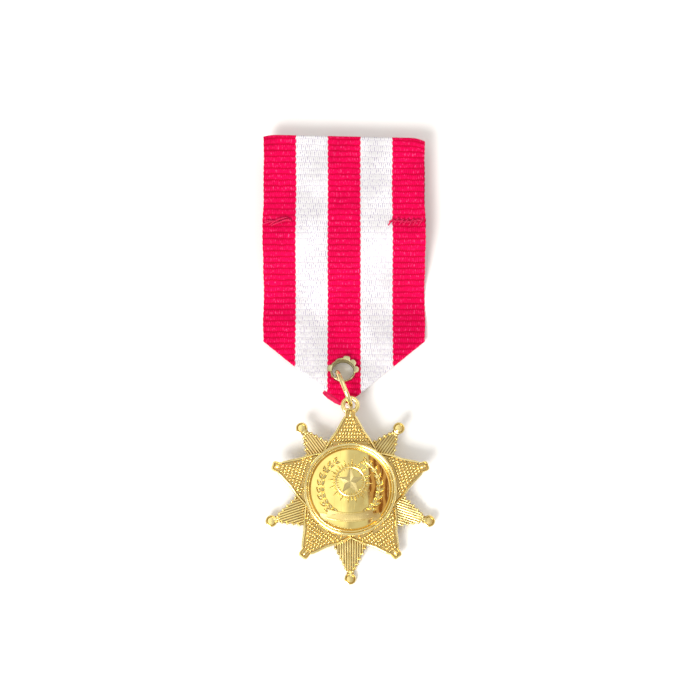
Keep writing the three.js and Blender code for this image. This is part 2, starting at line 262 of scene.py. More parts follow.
def thickened(name: str, rows: np.ndarray, depth: float, weld: float) -> bpy.types.Object:
    """A sheet laid on given rows and extruded straight down into a solid.

    Args:
        name: The piece's name.
        rows: Points of its top, in millimetres.
        depth: How far it is extruded, in millimetres.
        weld: The distance within which points are one, in metres.

    Returns:
        The new object.
    """
    sheet = formed(name, rows, closed=False)
    with editing(sheet):
        bpy.ops.mesh.extrude_region_move(TRANSFORM_OT_translate={"value": (0, 0, -depth * MM)})
    return tidy_shell(sheet, weld)


def swept(name: str, path: np.ndarray, radius: float | np.ndarray, sides: int = 12, flatten: float = 1.0,
          twist: float = 0.0, closed: bool = False) -> bpy.types.Object:
    """A round or oval section swept along a path, with rounded ends if it is open.

    Args:
        name: The piece's name.
        path: Points in millimetres.
        radius: The section's half-width, one for all or one for each point.
        sides: Corners of the section.
        flatten: The section's other half-width, as a share of the first.
        twist: Turns of the section along the whole path.
        closed: Whether the path joins itself.

    Returns:
        The new object.
    """
    path = np.asarray(path, float)
    radii = np.broadcast_to(np.asarray(radius, float), (len(path),)).copy()
    ahead = np.roll(path, -1, 0) if closed else np.vstack([path[1:], 2 * path[-1:] - path[-2:-1]])
    behind = np.roll(path, 1, 0) if closed else np.vstack([2 * path[:1] - path[1:2], path[:-1]])
    tangents = ahead - behind
    tangents /= np.linalg.norm(tangents, axis=1)[:, None]
    side = np.cross(tangents[0], (0.31, 0.17, 0.93))
    angles = np.linspace(0, 2 * math.pi, sides + 1)
    rows = []
    for i, (point, along) in enumerate(zip(path, tangents)):
        side = side - along * np.dot(side, along)
        side /= np.linalg.norm(side)
        other = np.cross(along, side)
        spin = 2 * math.pi * twist * i / max(len(path) - 1, 1)
        x = radii[i] * np.cos(angles)
        y = radii[i] * flatten * np.sin(angles)
        turned_x = x * math.cos(spin) - y * math.sin(spin)
        turned_y = x * math.sin(spin) + y * math.cos(spin)
        rows.append(point + turned_x[:, None] * side + turned_y[:, None] * other)
    if closed:
        rows.append(rows[0])
        return formed(name, np.array(rows))
    for end, away in ((0, -1), (-1, 1)):
        ring, tip = rows[end], path[end] + away * tangents[end] * radii[end] * 0.5
        shoulder = tip + (ring - path[end]) * 0.6 - away * tangents[end] * radii[end] * 0.15
        point = np.broadcast_to(tip, ring.shape)
        rows = [point, shoulder, *rows] if end == 0 else [*rows, shoulder, point]
    return formed(name, np.array(rows))


def copies(master: bpy.types.Object, places: Iterable[Matrix]) -> list[bpy.types.Object]:
    """Copy a small modelled shape to many places, each copy with its own mesh.

    Args:
        master: The shape, at its own origin. It is used up.
        places: Where each copy goes, in metres.

    Returns:
        The copies.
    """
    made = []
    for place in places:
        copy = master.copy()
        copy.data = master.data.copy()
        copy.data.transform(place)
        bpy.context.collection.objects.link(copy)
        made.append(copy)
    bpy.data.objects.remove(master)
    return made


def at(x: float, y: float, z: float, turn: float = 0.0, scale: float = 1.0) -> Matrix:
    """A place in millimetres, turned about Z, as a matrix in metres."""
    spin = Matrix.Rotation(turn, 4, "Z")
    return Matrix.Translation(Vector((x, y, z)) * MM) @ spin @ Matrix.Diagonal((scale,) * 3 + (1.0,))


def on_ray(angle: float, along: float, across: float = 0.0) -> tuple[float, float]:
    """The x and y of a place along and across a ray that leaves the origin at an angle."""
    c, s = math.cos(angle), math.sin(angle)
    return along * c - across * s, along * s + across * c


def wander(x: float, y: float, z: float, size: float) -> float:
    """A smooth random value from about -1 to 1, for a place and a feature size in millimetres."""
    return noise.noise(Vector((x, y, z)) / size)


def mark(obj: bpy.types.Object, name: str, values: np.ndarray) -> None:
    """Store one number per point, for a material to read.

    Args:
        obj: The piece.
        name: The attribute's name.
        values: One number for each point.
    """
    attribute = obj.data.attributes.get(name) or obj.data.attributes.new(name, "FLOAT", "POINT")
    attribute.data.foreach_set("value", values.astype(np.float32))


def points_of(obj: bpy.types.Object) -> np.ndarray:
    """The points of a piece.

    Args:
        obj: The piece.

    Returns:
        One row of x, y and z for each point, in metres.
    """
    co = np.empty(len(obj.data.vertices) * 3, np.float32)
    obj.data.vertices.foreach_get("co", co)
    return co.reshape(-1, 3)


def heights(obj: bpy.types.Object) -> np.ndarray:
    """The height of each point over its own floor, in millimetres."""
    return points_of(obj)[:, 2] / MM


def radii(obj: bpy.types.Object) -> np.ndarray:
    """The distance of each point from the Z axis, in millimetres."""
    return np.array([vertex.co.xy.length / MM for vertex in obj.data.vertices])


# ---------------------------------------------------------------- finishes
class Tree:
    """A short way of writing a node tree."""

    def __init__(self, tree: bpy.types.NodeTree) -> None:
        """Keep the tree that nodes are added to."""
        self.tree = tree

    def add(self, kind: str, inputs: dict[str | int, object] | None = None,
            **settings: object) -> bpy.types.Node:
        """Add a node, set it, and fill or link its inputs.

        Args:
            kind: The node's type.
            inputs: Values or sockets for inputs, by name or number.
            settings: The node's own settings.

        Returns:
            The new node.
        """
        made = self.tree.nodes.new(kind)
        for key, value in settings.items():
            setattr(made, key, value)
        self.feed(made, inputs or {})
        return made

    def feed(self, node: bpy.types.Node, inputs: dict[str | int, object]) -> None:
        """Link each socket in, and set each plain value on the node's own input.

        Args:
            node: The node to feed.
            inputs: Values or sockets for its inputs, by name or number.
        """
        for key, value in inputs.items():
            if isinstance(value, bpy.types.NodeSocket):
                self.tree.links.new(value, node.inputs[key])
            else:
                node.inputs[key].default_value = value

    def math(self, operation: str, *values: object) -> bpy.types.NodeSocket:
        """The output of a Math node over numbers or sockets."""
        return self.add("ShaderNodeMath", dict(enumerate(values)), operation=operation).outputs[0]

    def mix(self, amount: object, low: object, high: object) -> bpy.types.NodeSocket:
        """A colour mixed from two, by an amount from 0 to 1."""
        made = self.add("ShaderNodeMix", {0: amount, 6: low, 7: high}, data_type="RGBA", clamp_factor=True)
        return made.outputs[2]

    def span(self, value: object, low: float, high: float, to_low: float = 0.0, to_high: float = 1.0,
             soft: bool = True) -> bpy.types.NodeSocket:
        """Bring a value from one range into another.

        Args:
            value: The socket or number.
            low: Where the first range starts.
            high: Where it ends.
            to_low: What its start becomes.
            to_high: What its end becomes.
            soft: Whether it eases in and out instead of going straight.

        Returns:
            The new value's socket.
        """
        kind = "SMOOTHSTEP" if soft else "LINEAR"
        inputs = {0: value, 1: low, 2: high, 3: to_low, 4: to_high}
        return self.add("ShaderNodeMapRange", inputs, interpolation_type=kind).outputs[0]

    def speckle(self, where: object, scale: float, detail: float = 2.0,
                rough: float = 0.5) -> bpy.types.NodeSocket:
        """Noise over a place, at so many features to the metre."""
        inputs = {"Vector": where, "Scale": scale, "Detail": detail, "Roughness": rough}
        return self.add("ShaderNodeTexNoise", inputs).outputs[0]


def new_material(name: str) -> tuple[bpy.types.Material, Tree, bpy.types.Node]:
    """Start a material on the Principled shader.

    Args:
        name: The material's name.

    Returns:
        The material, its tree and its shader.
    """
    made = bpy.data.materials.new(name)
    made.use_nodes = True
    return made, Tree(made.node_tree), made.node_tree.nodes["Principled BSDF"]


def shader_group(name: str, inputs: dict[str, float], outputs: Sequence[str],
                 fill: Callable[[Tree, bpy.types.Node, bpy.types.Node], None]) -> bpy.types.NodeTree:
    """Make a shared node group once.

    Args:
        name: The group's name.
        inputs: Its number inputs and their usual values. "Place" is a vector.
        outputs: Its number outputs.
        fill: Builds the nodes between the group's input and output nodes.

    Returns:
        The group.
    """
    if name in bpy.data.node_groups:
        return bpy.data.node_groups[name]
    group = bpy.data.node_groups.new(name, "ShaderNodeTree")
    for label, value in inputs.items():
        kind = "NodeSocketVector" if label == "Place" else "NodeSocketFloat"
        socket = group.interface.new_socket(label, in_out="INPUT", socket_type=kind)
        if kind == "NodeSocketFloat":
            socket.default_value = value
    for label in outputs:
        group.interface.new_socket(label, in_out="OUTPUT", socket_type="NodeSocketFloat")
    tree = Tree(group)
    fill(tree, tree.add("NodeGroupInput"), tree.add("NodeGroupOutput"))
    return group


def handling_group() -> bpy.types.NodeTree:
    """Faint scuffs and smears, as on plated metal that has been handled: a smear and a scratch mask."""
    def fill(tree: Tree, given: bpy.types.Node, out: bpy.types.Node) -> None:
        """Build the smears and the scratches.

        Args:
            tree: The group's tree.
            given: Its input node.
            out: Its output node.
        """
        place = given.outputs["Place"]
        smear = tree.span(tree.speckle(place, 260.0, 3.0, 0.6), 0.42, 0.68)
        stretch = {"Vector": place, "Scale": (6.0, 0.35, 1.0), "Rotation": (0, 0, 0.6)}
        lines = tree.speckle(tree.add("ShaderNodeMapping", stretch).outputs[0], 900.0, 1.0)
        scratch = tree.span(lines, 0.64, 0.7)
        tree.feed(out, {"Smear": tree.math("MULTIPLY", smear, given.outputs["Smears"]),
                        "Scratch": tree.math("MULTIPLY", scratch, given.outputs["Scratches"])})

    inputs = {"Place": 0.0, "Smears": 1.0, "Scratches": 1.0}
    return shader_group("handling marks", inputs, ("Smear", "Scratch"), fill)


def fibre_group() -> bpy.types.NodeTree:
    """Twisted fibres along a thread: a crest mask from its place."""
    def fill(tree: Tree, given: bpy.types.Node, out: bpy.types.Node) -> None:
        """Build the fibre mask.

        Args:
            tree: The group's tree.
            given: Its input node.
            out: Its output node.
        """
        stretch = {"Vector": given.outputs["Place"], "Scale": (1.0, 1.0, 3.0)}
        fine = tree.speckle(tree.add("ShaderNodeMapping", stretch).outputs[0], 7000.0, 3.0, 0.65)
        tree.feed(out, {"Crest": tree.span(fine, 0.3, 0.7)})

    return shader_group("thread fibres", {"Place": 0.0}, ("Crest",), fill)


@dataclass(frozen=True)
class Coat:
    """A finish with a name, made once and then shared."""

    name: str

    def material(self) -> bpy.types.Material:
        """Build the material, or fetch it if it is made already."""
        if self.name in bpy.data.materials:
            return bpy.data.materials[self.name]
        made, tree, shader = new_material(self.name)
        self.lay(tree, shader)
        return made

    def lay(self, tree: Tree, shader: bpy.types.Node) -> None:
        """Add the finish's own nodes and feed its shader.

        Args:
            tree: The material's tree.
            shader: Its Principled shader.
        """
        raise NotImplementedError


@dataclass(frozen=True)
class Metal(Coat):
    """A plated or polished metal, with painted shade in its hollows and scuffed on its faces."""

    bright: tuple[float, float, float]
    deep: tuple[float, float, float]
    gloss: float
    dulled: float
    grain: float
    smears: float
    scratches: float
    cloud: float = 0.28
    hollow_rough: float = 0.16
    relief: float = 0.006

    def lay(self, tree: Tree, shader: bpy.types.Node) -> None:
        """Add the cloudy colour, the handling marks and the fine grain.

        Args:
            tree: The material's tree.
            shader: Its Principled shader.
        """
        place = tree.add("ShaderNodeTexCoord").outputs["Object"]
        amounts = {"Place": place, "Smears": self.smears, "Scratches": self.scratches}
        marks = tree.add("ShaderNodeGroup", node_tree=handling_group())
        tree.feed(marks, amounts)
        # painted shade: a number stored per point darkens hollows, crevices and tucked-in parts towards the
        # darker colour; the clouding below is random tone
        painted_shade = tree.add("ShaderNodeAttribute", attribute_name="painted_shade").outputs["Fac"]
        cloudy = tree.span(tree.speckle(place, 420.0, 3.0), 0.3, 0.75, 0.0, self.cloud)
        tint = tree.math("MAXIMUM", painted_shade, cloudy)
        colour = tree.mix(tint, (*self.bright, 1.0), (*self.deep, 1.0))
        worn = tree.math("MULTIPLY_ADD", marks.outputs["Smear"], self.dulled - self.gloss, self.gloss)
        rough = tree.math("MULTIPLY_ADD", painted_shade, self.hollow_rough, worn)
        relief = tree.math("MULTIPLY", tree.speckle(place, 5200.0, 3.0, 0.6), self.grain)
        height = tree.math("SUBTRACT", relief, marks.outputs["Scratch"])
        bump = tree.add("ShaderNodeBump", {"Height": height, "Strength": 0.5, "Distance": self.relief * MM})
        tree.feed(shader, {"Base Color": colour, "Roughness": rough, "Normal": bump.outputs[0],
                           "Metallic": 1.0})


@dataclass(frozen=True)
class Cloth(Coat):
    """The ribbed, striped ribbon. Its sizes, and its map of across and along, are in millimetres."""

    name: str = "striped ribbon"
    crimson: tuple[float, float, float] = (0.83, 0.0, 0.084)
    # crimson_low is the painted shade of the rib valleys and yarn gaps, also reached in random flecks;
    # crimson_sheen is painted glints on the rib crests
    crimson_low: tuple[float, float, float] = (0.52, 0.0, 0.030)
    crimson_sheen: tuple[float, float, float] = (0.97, 0.10, 0.32)
    white: tuple[float, float, float] = (0.80, 0.79, 0.81)
    # white_low is the painted shade of the rib valleys, and the colour of the darker weave gaps
    white_low: tuple[float, float, float] = (0.38, 0.31, 0.50)
    rib: float = 1.3
    thread: float = 0.44
    stripe: float = 7.0
    stripe_edge: float = 0.07
    relief: float = 0.14

    def lay(self, tree: Tree, shader: bpy.types.Node) -> None:
        """Add the ribs, the yarns, the stripes, the weave's flecks, painted shade in the rib valleys and
        painted glints on the rib crests.

        Args:
            tree: The material's tree.
            shader: Its Principled shader.
        """
        flat = tree.add("ShaderNodeUVMap", uv_map="weave").outputs[0]
        parts = tree.add("ShaderNodeSeparateXYZ", {0: flat})
        across, along = parts.outputs[0], parts.outputs[1]
        jitter = tree.speckle(flat, 0.55, 3.0)
        along = tree.math("MULTIPLY_ADD", jitter, 0.5, along)
        wave = tree.math("ABSOLUTE", tree.math("SINE", tree.math("MULTIPLY", along, math.pi / self.rib)))
        crest = tree.math("POWER", wave, 0.55)
        rib_number = tree.math("FLOOR", tree.math("DIVIDE", along, self.rib))
        odd = tree.math("FLOORED_MODULO", rib_number, 2.0)
        shifted = tree.math("MULTIPLY_ADD", odd, self.thread / 2, across)
        ply = tree.math("ABSOLUTE", tree.math("SINE", tree.math("MULTIPLY", shifted, math.pi / self.thread)))
        yarn = tree.math("POWER", ply, 0.7)
        swing = tree.math("MULTIPLY_ADD", crest, 0.22, -0.11)
        out = tree.math("ABSOLUTE", across)
        inner = tree.math("SUBTRACT", out, tree.math("ADD", swing, self.stripe / 2))
        outer = tree.math("SUBTRACT", out, tree.math("SUBTRACT", self.stripe * 1.5, swing))
        past_inner = tree.span(inner, -self.stripe_edge, self.stripe_edge)
        past_outer = tree.span(outer, -self.stripe_edge, self.stripe_edge)
        is_white = tree.math("SUBTRACT", past_inner, past_outer)
        long_cells = tree.add("ShaderNodeMapping", {"Vector": flat, "Scale": (3.4, 1.05, 1.0)})
        fleck = tree.speckle(long_cells.outputs[0], 1.0, 2.0, 0.7)
        # painted light and shade: the red is lighter on the rib crests and yarn tops and darker between
        # them, varied by random flecks
        lift = tree.math("MULTIPLY", crest, tree.span(yarn, 0.0, 1.0, 0.55, 1.0))
        crest_light_and_fleck = tree.math("MULTIPLY", lift, tree.span(fleck, 0.25, 0.6, 0.55, 1.0))
        red = tree.mix(tree.span(crest_light_and_fleck, 0.1, 0.85), (*self.crimson_low, 1.0), (*self.crimson, 1.0))
        # painted highlight: pale glints on the rib crests
        glint = tree.math("MULTIPLY", tree.span(lift, 0.5, 0.95), tree.span(fleck, 0.55, 0.7, 0.0, 0.8))
        red = tree.mix(glint, red, (*self.crimson_sheen, 1.0))
        gap = tree.math("MULTIPLY", tree.span(yarn, 0.8, 0.3), tree.span(fleck, 0.47, 0.6))
        # painted shade: the white darker in the rib valleys
        valley = tree.math("MULTIPLY", tree.span(crest, 0.6, 0.1), 0.30)
        pale = tree.mix(tree.math("MAXIMUM", gap, valley), (*self.white, 1.0), (*self.white_low, 1.0))
        cloud = tree.span(tree.speckle(flat, 0.12, 3.0), 0.35, 0.7, 0.86, 1.06)
        colour = tree.mix(is_white, red, pale)
        toned = tree.add("ShaderNodeVectorMath", {0: colour, "Scale": cloud}, operation="SCALE").outputs[0]
        weave = tree.math("MULTIPLY_ADD", yarn, 0.45, tree.math("MULTIPLY", fleck, 0.35))
        height = tree.math("ADD", weave, tree.math("MULTIPLY", crest, 0.45))
        bump = tree.add("ShaderNodeBump", {"Height": height, "Strength": 0.9, "Distance": self.relief * MM})
        rough = tree.span(fleck, 0.3, 0.7, 0.62, 0.86)
        tree.feed(shader, {"Base Color": toned, "Roughness": rough, "Normal": bump.outputs[0],
                           "Sheen Weight": 0.03, "Sheen Roughness": 0.4, "Sheen Tint": (1.0, 0.8, 0.85, 1.0),
                           "Specular IOR Level": 0.06})


@dataclass(frozen=True)
class Yarn(Coat):
    """Loose sewing thread or a frayed fibre."""

    # crest is the painted highlight on the raised fibres; low is the painted shade between them
    crest: tuple[float, float, float]
    low: tuple[float, float, float]

    def lay(self, tree: Tree, shader: bpy.types.Node) -> None:
        """Add the fibres, painted lighter on their crests and darker between them.

        Args:
            tree: The material's tree.
            shader: Its Principled shader.
        """
        fibres = tree.add("ShaderNodeGroup", node_tree=fibre_group())
        tree.feed(fibres, {"Place": tree.add("ShaderNodeTexCoord").outputs["Object"]})
        mask = fibres.outputs["Crest"]
        bump = tree.add("ShaderNodeBump", {"Height": mask, "Strength": 0.6, "Distance": 0.03 * MM})
        tree.feed(shader, {"Base Color": tree.mix(mask, (*self.low, 1.0), (*self.crest, 1.0)),
                           "Roughness": tree.span(mask, 0.0, 1.0, 0.8, 0.6), "Normal": bump.outputs[0],
                           "Specular IOR Level": 0.25})


class Finish(Enum):
    """The medal's finishes."""

    STAR_GOLD = Metal("star gold", (0.99, 0.83, 0.37), (0.30, 0.14, 0.02), gloss=0.15, dulled=0.32,
                      grain=0.8, smears=0.7, scratches=0.4)
    BRIGHT_GOLD = Metal("bright gold", (0.99, 0.85, 0.40), (0.50, 0.26, 0.05), gloss=0.09, dulled=0.2,
                        grain=0.25, smears=0.4, scratches=0.4)
    MIRROR_GOLD = Metal("mirror gold", (0.97, 0.80, 0.30), (0.70, 0.42, 0.10), gloss=0.03, dulled=0.09,
                        grain=0.05, smears=0.35, scratches=0.7)
    PALE_BRASS = Metal("pale brass", (0.66, 0.60, 0.34), (0.30, 0.25, 0.09), gloss=0.24, dulled=0.42,
                       grain=1.0, smears=0.9, scratches=1.0)
    NICKEL = Metal("nickel", (0.66, 0.66, 0.66), (0.34, 0.33, 0.32), gloss=0.18, dulled=0.34,
                   grain=0.5, smears=0.8, scratches=1.0)
    RIBBON = Cloth()
    RED_THREAD = Yarn("crimson thread", (0.92, 0.03, 0.15), (0.55, 0.0, 0.05))
    WHITE_THREAD = Yarn("white fibre", (0.85, 0.83, 0.86), (0.55, 0.53, 0.6))


def dress(obj: bpy.types.Object, finish: Finish) -> bpy.types.Object:
    """Give a piece its only material.

    Args:
        obj: The piece.
        finish: The finish.

    Returns:
        The same piece.
    """
    obj.data.materials.clear()
    obj.data.materials.append(finish.value.material())
    return obj


def fit(obj: bpy.types.Object, body: str, slot: str, *nodes: str) -> bpy.types.Object:
    """Let a piece ride on a body and stand for its nodes.

    Args:
        obj: The piece, in place.
        body: The body that it moves with.
        slot: The record's material slot. It is not used.
        nodes: The frame's nodes that it stands for.

    Returns:
        The same piece.
    """
    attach(obj, body)
    if nodes:
        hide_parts(*nodes)
    LOG.info("%s: %d faces on %s, for %s", obj.name, len(obj.data.polygons), body, list(nodes) or "detail")
    return obj


# ---------------------------------------------------------------- ribbon
@dataclass
class Ribbon:
    """The striped ribbon: its flap, top fold, front, drop and folded point, as one cloth. Millimetres."""

    # the flat strip
    width: float = 35.0
    thickness: float = 0.34
    frame_thickness: float = 0.36
    rib: float = 1.3
    rows_to_a_rib: int = 6
    columns: int = 64
    # the folded point
    shoulder_y: float = 4.1
    point_drop: float = 14.75
    blunt: float = 0.35
    fold_radius: float = 0.2
    # the side view
    contact_y: float = 12.0
    tip_bend_radius: float = 20.0
    flap_past_hinge: float = 0.85
    front_past_hinge: float = 0.3
    steep_reach: float = 5.0
    level_reach: float = 5.5
    tail: float = 22.0
    # the hole
    eyelet_clear: float = 2.65
    eyelet_reach: float = 3.0
    # how unevenly it hangs
    fold_slant: float = 0.023
    edge_band: float = 1.2
    edge_inset: float = 0.1
    edge_rib: float = 0.11
    edge_wander: float = 0.24
    tack_spread: float = 1.6
    tack_pinch: float = 0.006
    tack_dip: float = 0.16
    waist_off: float = 7.5
    waist_spread: float = 5.0
    waist_pinch: float = 0.012
    billow: float = 0.22
    point_zone: float = 3.2
    point_lift: float = 0.16
    point_stray: float = 0.25
    fold_zone_y: float = 38.0
    fold_zone: float = 9.0
    corner_start: float = 14.5
    corner_drops: tuple[float, float] = (0.45, 0.75)
    # the frayed end
    curl_strands: int = 26
    fibre: float = 0.045
    # worked out from the frame
    line: np.ndarray = field(init=False)
    reach: np.ndarray = field(init=False)
    centre_x: float = field(init=False)
    drop_start: int = field(init=False)

    def __post_init__(self) -> None:
        """Work the side view of the ribbon out from the frame."""
        low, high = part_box("ribbon_sleeve")
        sheet = self.frame_thickness
        self.centre_x = (low.x + high.x) / 2 / MM
        front, back = high.z / MM - sheet / 2, low.z / MM + sheet / 2
        flex_y = JOINTS["ribbon_flex"]["pos_m"][1] / MM
        turn = (front - back) / 2
        fold_y = high.y / MM - sheet / 2 - turn
        axis = JOINTS["ring_sway"]["axis"]
        slope = math.atan2(axis[1], axis[2])
        flap_end = flex_y + self.flap_past_hinge
        flap = [(flap_end + t * (fold_y - flap_end), back) for t in np.linspace(0, 1, 40)]
        half_turn = np.linspace(-math.pi / 2, math.pi / 2, 25)[1:]
        fold = [(fold_y + turn * math.cos(a), back + turn + turn * math.sin(a)) for a in half_turn]
        start, rest = (flex_y - self.front_past_hinge, front), (self.contact_y, sheet / 2 + 0.02)
        run = [(fold_y + t * (start[0] - fold_y), front) for t in np.linspace(0, 1, 41)[1:]]
        bends = [start, (start[0] - self.steep_reach, start[1] - 0.5), (rest[0] + self.level_reach, rest[1]),
                 rest]
        fall = []
        for t in np.linspace(0, 1, 61)[1:]:
            share = ((1 - t) ** 3, 3 * t * (1 - t) ** 2, 3 * t * t * (1 - t), t ** 3)
            fall.append(tuple(sum(w * p[k] for w, p in zip(share, bends)) for k in (0, 1)))
        bow = self.tip_bend_radius
        bend = [(rest[0] - bow * math.sin(a), rest[1] + bow * (1 - math.cos(a)))
                for a in np.linspace(0, slope, 9)[1:]]
        last = bend[-1]
        rise = [(last[0] - d, last[1] + d * math.tan(slope)) for d in np.linspace(0, self.tail, 45)[1:]]
        self.line = np.array(flap + fold + run + fall + bend + rise)
        self.drop_start = len(flap + fold + run) - 1
        steps = np.linalg.norm(np.diff(self.line, axis=0), axis=1)
        self.reach = np.concatenate([[0], np.cumsum(steps)])

    def along_of(self, y: float) -> float:
        """The length along the ribbon, from the flap's end, at which the drop is at a given Y."""
        drop = slice(self.drop_start, None)
        return float(np.interp(-y, -self.line[drop, 0], self.reach[drop]))

    @property
    def shoulder(self) -> float:
        """Length along the ribbon at which the corner folds start."""
        return self.along_of(self.shoulder_y)

    @property
    def apex(self) -> float:
        """Length along the ribbon at which the corner folds meet."""
        return self.along_of(self.shoulder_y - self.point_drop)

    @property
    def length(self) -> float:
        """The cut length of the ribbon."""
        return self.apex - self.blunt

    def surface(self, across: np.ndarray, along: np.ndarray, lift: np.ndarray) -> np.ndarray:
        """Points on the hung ribbon for places on its outline.

        Args:
            across: Distance from the centre line.
            along: Length from the flap's end.
            lift: Distance in front of the middle of the cloth.

        Returns:
            The points, in millimetres.
        """
        y = np.interp(along, self.reach, self.line[:, 0])
        z = np.interp(along, self.reach, self.line[:, 1])
        step = 0.25
        ahead = [np.interp(along + step, self.reach, self.line[:, k]) for k in (0, 1)]
        behind = [np.interp(along - step, self.reach, self.line[:, k]) for k in (0, 1)]
        run, rise = ahead[0] - behind[0], ahead[1] - behind[1]
        size = np.hypot(run, rise)
        y = y + lift * rise / size
        z = z - lift * run / size
        return np.stack([self.centre_x + across, y, z], axis=-1)

    def folded(self, across: np.ndarray, along: np.ndarray) -> tuple[np.ndarray, np.ndarray, np.ndarray]:
        """Fold the two lower corners back.

        Args:
            across: Distance from the centre line on the flat ribbon.
            along: Length on the flat ribbon.

        Returns:
            Where each point lies across and along the hung ribbon, and how far behind its front sheet.
        """
        side = np.where(across < 0, -1.0, 1.0)
        edge = np.array([self.width / 2, self.shoulder - self.apex])
        edge /= np.linalg.norm(edge)
        out = np.array([-edge[1], edge[0]])
        rel = np.stack([np.abs(across), along - self.apex], axis=-1)
        past = rel @ out
        foot = rel - past[:, None] * out
        r = self.fold_radius
        arc = np.clip(past / r, 0, math.pi)
        inward = np.where(past > math.pi * r, math.pi * r - past, r * np.sin(arc))
        moved = np.where(past > 0, inward, past)
        place = foot + moved[:, None] * out
        lift = -r * (1 - np.cos(arc))
        return place[:, 0] * side, place[:, 1] + self.apex, lift

    def cut_flat(self) -> bpy.types.Object:
        """The flat ribbon as a grid, with extra cuts where it folds."""
        rows = int(round(self.length / self.rib * self.rows_to_a_rib)) + 1
        u = np.linspace(-self.width / 2, self.width / 2, self.columns + 1)
        v = np.linspace(0, self.length, rows)
        grid = np.zeros((rows, self.columns + 1, 3))
        grid[:, :, 0], grid[:, :, 1] = u[None, :], v[:, None]
        cloth = formed("ribbon", grid, closed=False)
        edge = Vector((self.width / 2, self.shoulder - self.apex, 0)).normalized()
        for side in (-1, 1):
            out = Vector((-edge.y * side, edge.x, 0))
            for quarter in range(5):
                spot = Vector((0, self.apex, 0)) + out * (math.pi * self.fold_radius * quarter / 4)
                with editing(cloth, "DESELECT"):
                    pass
                for vertex in cloth.data.vertices:
                    vertex.select = vertex.co.x * side > -1e-6 and vertex.co.y > (self.shoulder - 2) * MM
                with editing(cloth, None):
                    bpy.ops.mesh.select_mode(type="FACE")
                    bpy.ops.mesh.bisect(plane_co=spot * MM, plane_no=out)
                    bpy.ops.mesh.select_mode(type="VERT")
        return cloth

    @staticmethod
    def map_weave(mesh: bpy.types.Mesh, flat: np.ndarray) -> None:
        """Give the cloth a map of its flat shape, for the weave to follow.

        Args:
            mesh: The flat cloth.
            flat: Across and along for each point, in millimetres.
        """
        corners = np.empty(len(mesh.loops), np.int32)
        mesh.loops.foreach_get("vertex_index", corners)
        weave = mesh.uv_layers.new(name="weave")
        weave.uv.foreach_set("vector", flat[corners].astype(np.float32).reshape(-1))
        mesh.uv_layers.remove(mesh.uv_layers["UVMap"])

    def hung(self, across: np.ndarray, along: np.ndarray, crest: np.ndarray) -> np.ndarray:
        """Where the flat cloth's points hang, with the unevenness of real cloth.

        Args:
            across: Distance from the centre line on the flat ribbon.
            along: Length on the flat ribbon.
            crest: How high each point stands on its rib, from 0 to 1.

        Returns:
            The points, in millimetres.
        """
        tack, side, off = self.tack_along(), np.sign(across), np.abs(across)
        edge = np.clip((off - self.width / 2 + self.edge_band) / self.edge_band, 0, 1)
        tacked = np.exp(-((along - tack) / self.tack_spread) ** 2)
        waist = np.exp(-((along - tack + self.waist_off) / self.waist_spread) ** 2)
        narrow = 1 - self.tack_pinch * tacked - self.waist_pinch * waist
        out = across * narrow + side * edge * (self.edge_rib * crest - self.edge_inset)
        wavy = np.array([wander(a, b, 3.0, 9.0) for a, b in zip(across, along)])
        out += edge * side * self.edge_wander * np.array([wander(b, 7.0, 0.5, 5.0) for b in along])
        x, s, lift = self.folded(out, along)
        loose = np.clip((s - tack - 2) / 4, 0, 1) * np.clip((self.along_of(7.0) - s) / 5, 0, 1)
        lift += self.billow * wavy * loose
        lift -= self.tack_dip * tacked * np.clip((off - 9) / 3, 0, 1)
        near_point = np.clip((s - self.apex + self.point_zone) / 3.0, 0, 1)
        ragged = np.array([wander(a, b, 1.0, 0.9) for a, b in zip(across, along)])
        points = self.surface(x, s, lift + near_point * self.point_lift * ragged)
        upper = np.clip((points[:, 1] - self.fold_zone_y) / self.fold_zone, 0, 1)
        points[:, 1] -= self.fold_slant * across * upper ** 2
        corner = np.clip((off - self.corner_start) / 3.0, 0, 1) ** 2
        left, right = self.corner_drops
        points[:, 1] -= upper ** 3 * corner * np.where(across > 0, right, left)
        points[:, 1] += near_point * self.point_stray * ragged
        return points

    def cloth(self) -> bpy.types.Object:
        """The finished ribbon, hung, ribbed and dressed."""
        cloth = self.cut_flat()
        flat = (points_of(cloth) / MM)[:, :2]
        self.map_weave(cloth.data, flat)
        across, along = flat[:, 0], flat[:, 1]
        crest = np.abs(np.sin(math.pi * along / self.rib)) ** 0.6
        points = self.hung(across, along, crest)
        cloth.data.vertices.foreach_set("co", (points * MM).astype(np.float32).reshape(-1))
        group = cloth.vertex_groups.new(name="ribs")
        for i, weight in enumerate(crest):
            group.add([i], float(weight), "REPLACE")
        self.open_hole(cloth)
        apply_modifier(cloth, "SOLIDIFY", thickness=self.thickness * MM, offset=0.0, vertex_group="ribs",
                       thickness_vertex_group=0.66, use_even_offset=False)
        smooth(cloth, 60)
        cloth.vertex_groups.clear()
        return dress(cloth, Finish.RIBBON)

    def tack_along(self) -> float:
        """Length along the ribbon at which the front is tacked."""
        low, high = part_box("tack_left")
        front = int(np.argmax(self.line[:, 0])) + 10
        y = (low.y + high.y) / 2 / MM
        return float(np.interp(-y, -self.line[front:, 0], self.reach[front:]))

    def open_hole(self, cloth: bpy.types.Object) -> None:
        """Take out the faces inside the eyelet's barrel.

        Args:
            cloth: The hung ribbon, still a single sheet.
        """
        from_eyelet = eyelet_place().inverted()
        for face in cloth.data.polygons:
            spot = from_eyelet @ face.center
            face.select = spot.xy.length < self.eyelet_clear * MM and abs(spot.z) < self.eyelet_reach * MM
        with editing(cloth, None):
            bpy.ops.mesh.select_mode(type="FACE")
            bpy.ops.mesh.delete(type="FACE")
            bpy.ops.mesh.select_mode(type="VERT")

